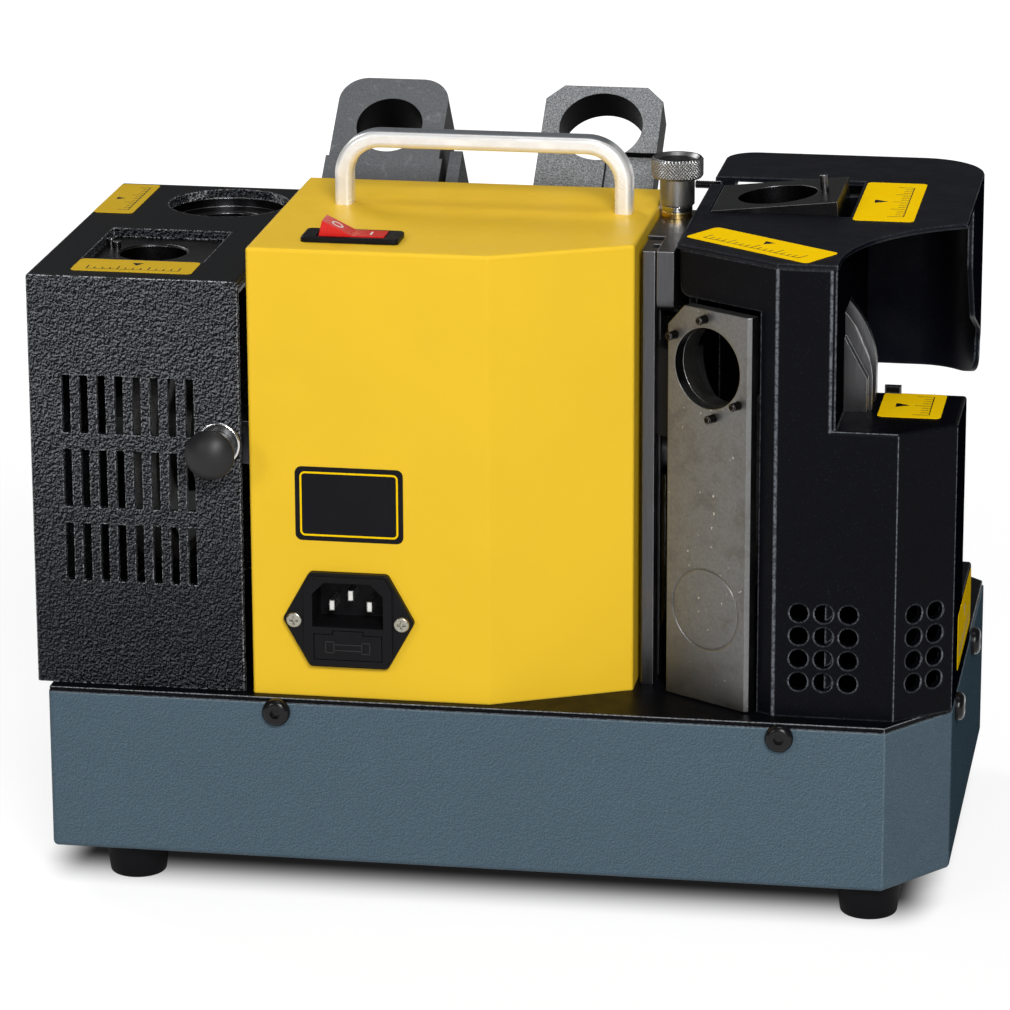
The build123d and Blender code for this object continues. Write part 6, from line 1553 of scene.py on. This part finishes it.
@dataclass
class Studio:
    """Pale floor, soft light and the camera that matches the photograph."""

    floor_half: float = 9.0
    floor_tone: float = 0.28
    shadow_glow: float = 0.01
    open_glow: float = 0.80
    far_glow: float = 1.0
    shadow_tone: float = 0.02
    shadow_inset_low: Pair = (0.008, 0.034)
    shadow_inset_high: Pair = (0.020, 0.034)
    contact_reach: Pair = (0.020, 0.0375)
    far_reach: Pair = (0.2, 1.5)
    sky: Colour = (0.98, 0.99, 1.0)
    sky_strength: float = 0.10
    lamps: tuple[Lamp, ...] = (
        Lamp("key_lamp", (0.70, -2.08, 1.50), (0, 0, 0.14), (0.7, 0.5), 38.0),
        Lamp("fill_lamp", (0.55, -2.25, 0.80), (0, 0, 0.14), (0.6, 0.5), 13.0),
        Lamp("left_lamp", (-1.20, -1.80, 1.00), (0, 0, 0.14), (0.5, 0.5), 7.0),
        Lamp("top_lamp", (0.10, -0.15, 1.70), (0, 0, 0.2), (0.6, 0.5), 3.4),
        Lamp("back_lamp", (-1.70, 1.60, 1.90), (0, 0, 0.14), (1.2, 1.2), 29.0),
    )
    eye: Way = (0.29046, -1.76794, 0.66728)
    azimuth: float = 9.588
    elevation: float = 16.735
    roll: float = -0.223
    lens: float = 175.82
    sensor: float = 36.0
    clip: Pair = (0.05, 60.0)

    def build(self) -> None:
        """Build the floor, the sky, the lamps and the camera."""
        self.build_floor()
        self.build_sky()
        for lamp in self.lamps:
            lamp.build()
        self.build_camera()

    def build_floor(self) -> None:
        """Lay a level square whose pale tone keeps the shadow and glows only for what is looked at.

        Tone and glow are both lowest over the dark middle of the base's footprint and grow with the distance
        from it, fast within the contact reach, and the glow slowly farther out: a painted contact shadow
        under the machine, on top of the real shadow that the tone keeps, while the rest of the floor is
        white.
        """
        half = self.floor_half
        mesh = bpy.data.meshes.new("floor")
        square = [(-half, -half, 0), (half, -half, 0), (half, half, 0), (-half, half, 0)]
        mesh.from_pydata(square, [], [(0, 1, 2, 3)])
        floor = bpy.data.objects.new("floor", mesh)
        bpy.context.scene.collection.objects.link(floor)
        graph = Graph("pale_floor")
        gap = self.footprint_gap(graph)
        share = graph.vector("DIVIDE", gap, (*self.contact_reach, 1.0)).outputs[0]
        near, reach = (graph.vector("LENGTH", value).outputs["Value"] for value in (share, gap))
        # Painted contact shadow: tone and glow are lowest over the footprint's dark middle.
        close = graph.fit(near, 0.0, 1.0, self.shadow_glow, self.open_glow)
        far = graph.fit(reach, *self.far_reach, 0.0, self.far_glow - self.open_glow)
        tone = graph.fit(near, 0.0, 1.0, self.shadow_tone, self.floor_tone)
        path = graph.add("ShaderNodeLightPath")
        seen = path.outputs["Is Camera Ray"]
        for other in ("Is Glossy Ray", "Is Transmission Ray"):
            seen = graph.sum("MAXIMUM", seen, path.outputs[other])
        glow = graph.sum("MULTIPLY", graph.sum("ADD", close, far), seen)
        graph.set(Base_Color=tone, Roughness=1.0, Specular_IOR_Level=0.0)
        graph.set(Emission_Color=(1.0, 1.0, 1.0), Emission_Strength=glow)
        mesh.materials.append(graph.material)

    def footprint_gap(self, graph: Graph) -> Socket:
        """Find how far a place on the floor lies outside the dark middle of the base's footprint, the core
        of the painted contact shadow.

        Args:
            graph: the floor's material.

        Returns:
            The distance along X and along Y, 0 inside.
        """
        low, high = (np.array(v) * (1, 1, 0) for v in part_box("base_tray"))
        low, high = low + (*self.shadow_inset_low, 0.0), high - (*self.shadow_inset_high, 0.0)
        gap = graph.vector("SUBTRACT", graph.place, (low + high) / 2).outputs[0]
        gap = graph.vector("ABSOLUTE", gap).outputs[0]
        gap = graph.vector("SUBTRACT", gap, (high - low) / 2).outputs[0]
        return graph.vector("MAXIMUM", gap, np.zeros(3)).outputs[0]

    def build_sky(self) -> None:
        """Give the surroundings one soft tone."""
        world = bpy.data.worlds.new("studio")
        world.use_nodes = True
        sky = world.node_tree.nodes["Background"]
        sky.inputs["Color"].default_value = (*self.sky, 1.0)
        sky.inputs["Strength"].default_value = self.sky_strength
        bpy.context.scene.world = world

    def build_camera(self) -> None:
        """Stand the camera where the photograph was taken from."""
        az, el, roll = radians(self.azimuth), radians(self.elevation), radians(self.roll)
        back = Vector((sin(az) * cos(el), -cos(az) * cos(el), sin(el)))
        right = Vector((cos(az), sin(az), 0.0))
        up = back.cross(right)
        side = right * cos(roll) + up * sin(roll)
        top = up * cos(roll) - right * sin(roll)
        data = bpy.data.cameras.new("camera")
        data.sensor_width = self.sensor
        data.lens = self.lens
        data.clip_start, data.clip_end = self.clip
        camera = bpy.data.objects.new("camera", data)
        camera.matrix_world = Matrix.Translation(self.eye) @ Matrix((side, top, back)).transposed().to_4x4()
        bpy.context.scene.collection.objects.link(camera)
        bpy.context.scene.camera = camera


def corners(box: Sequence[Sequence[float]]) -> list[list[float]]:
    """Return a box's two corners as plain lists of numbers."""
    return [[float(v) for v in corner] for corner in box]


def main() -> None:
    """Build every sub-assembly in order, then the studio."""
    logging.basicConfig(level=logging.INFO, format="%(name)s: %(message)s")
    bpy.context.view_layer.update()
    for part in (BaseBox(), LeftStation(), MotorUnit(), FeedSlide(), RightStation(), SettingPair(), Drive()):
        LOG.info("assembly %s", type(part).__name__)
        part.build()
    Studio().build()
    bpy.context.scene.view_settings.view_transform = "Standard"


if __name__ == "__main__":
    main()
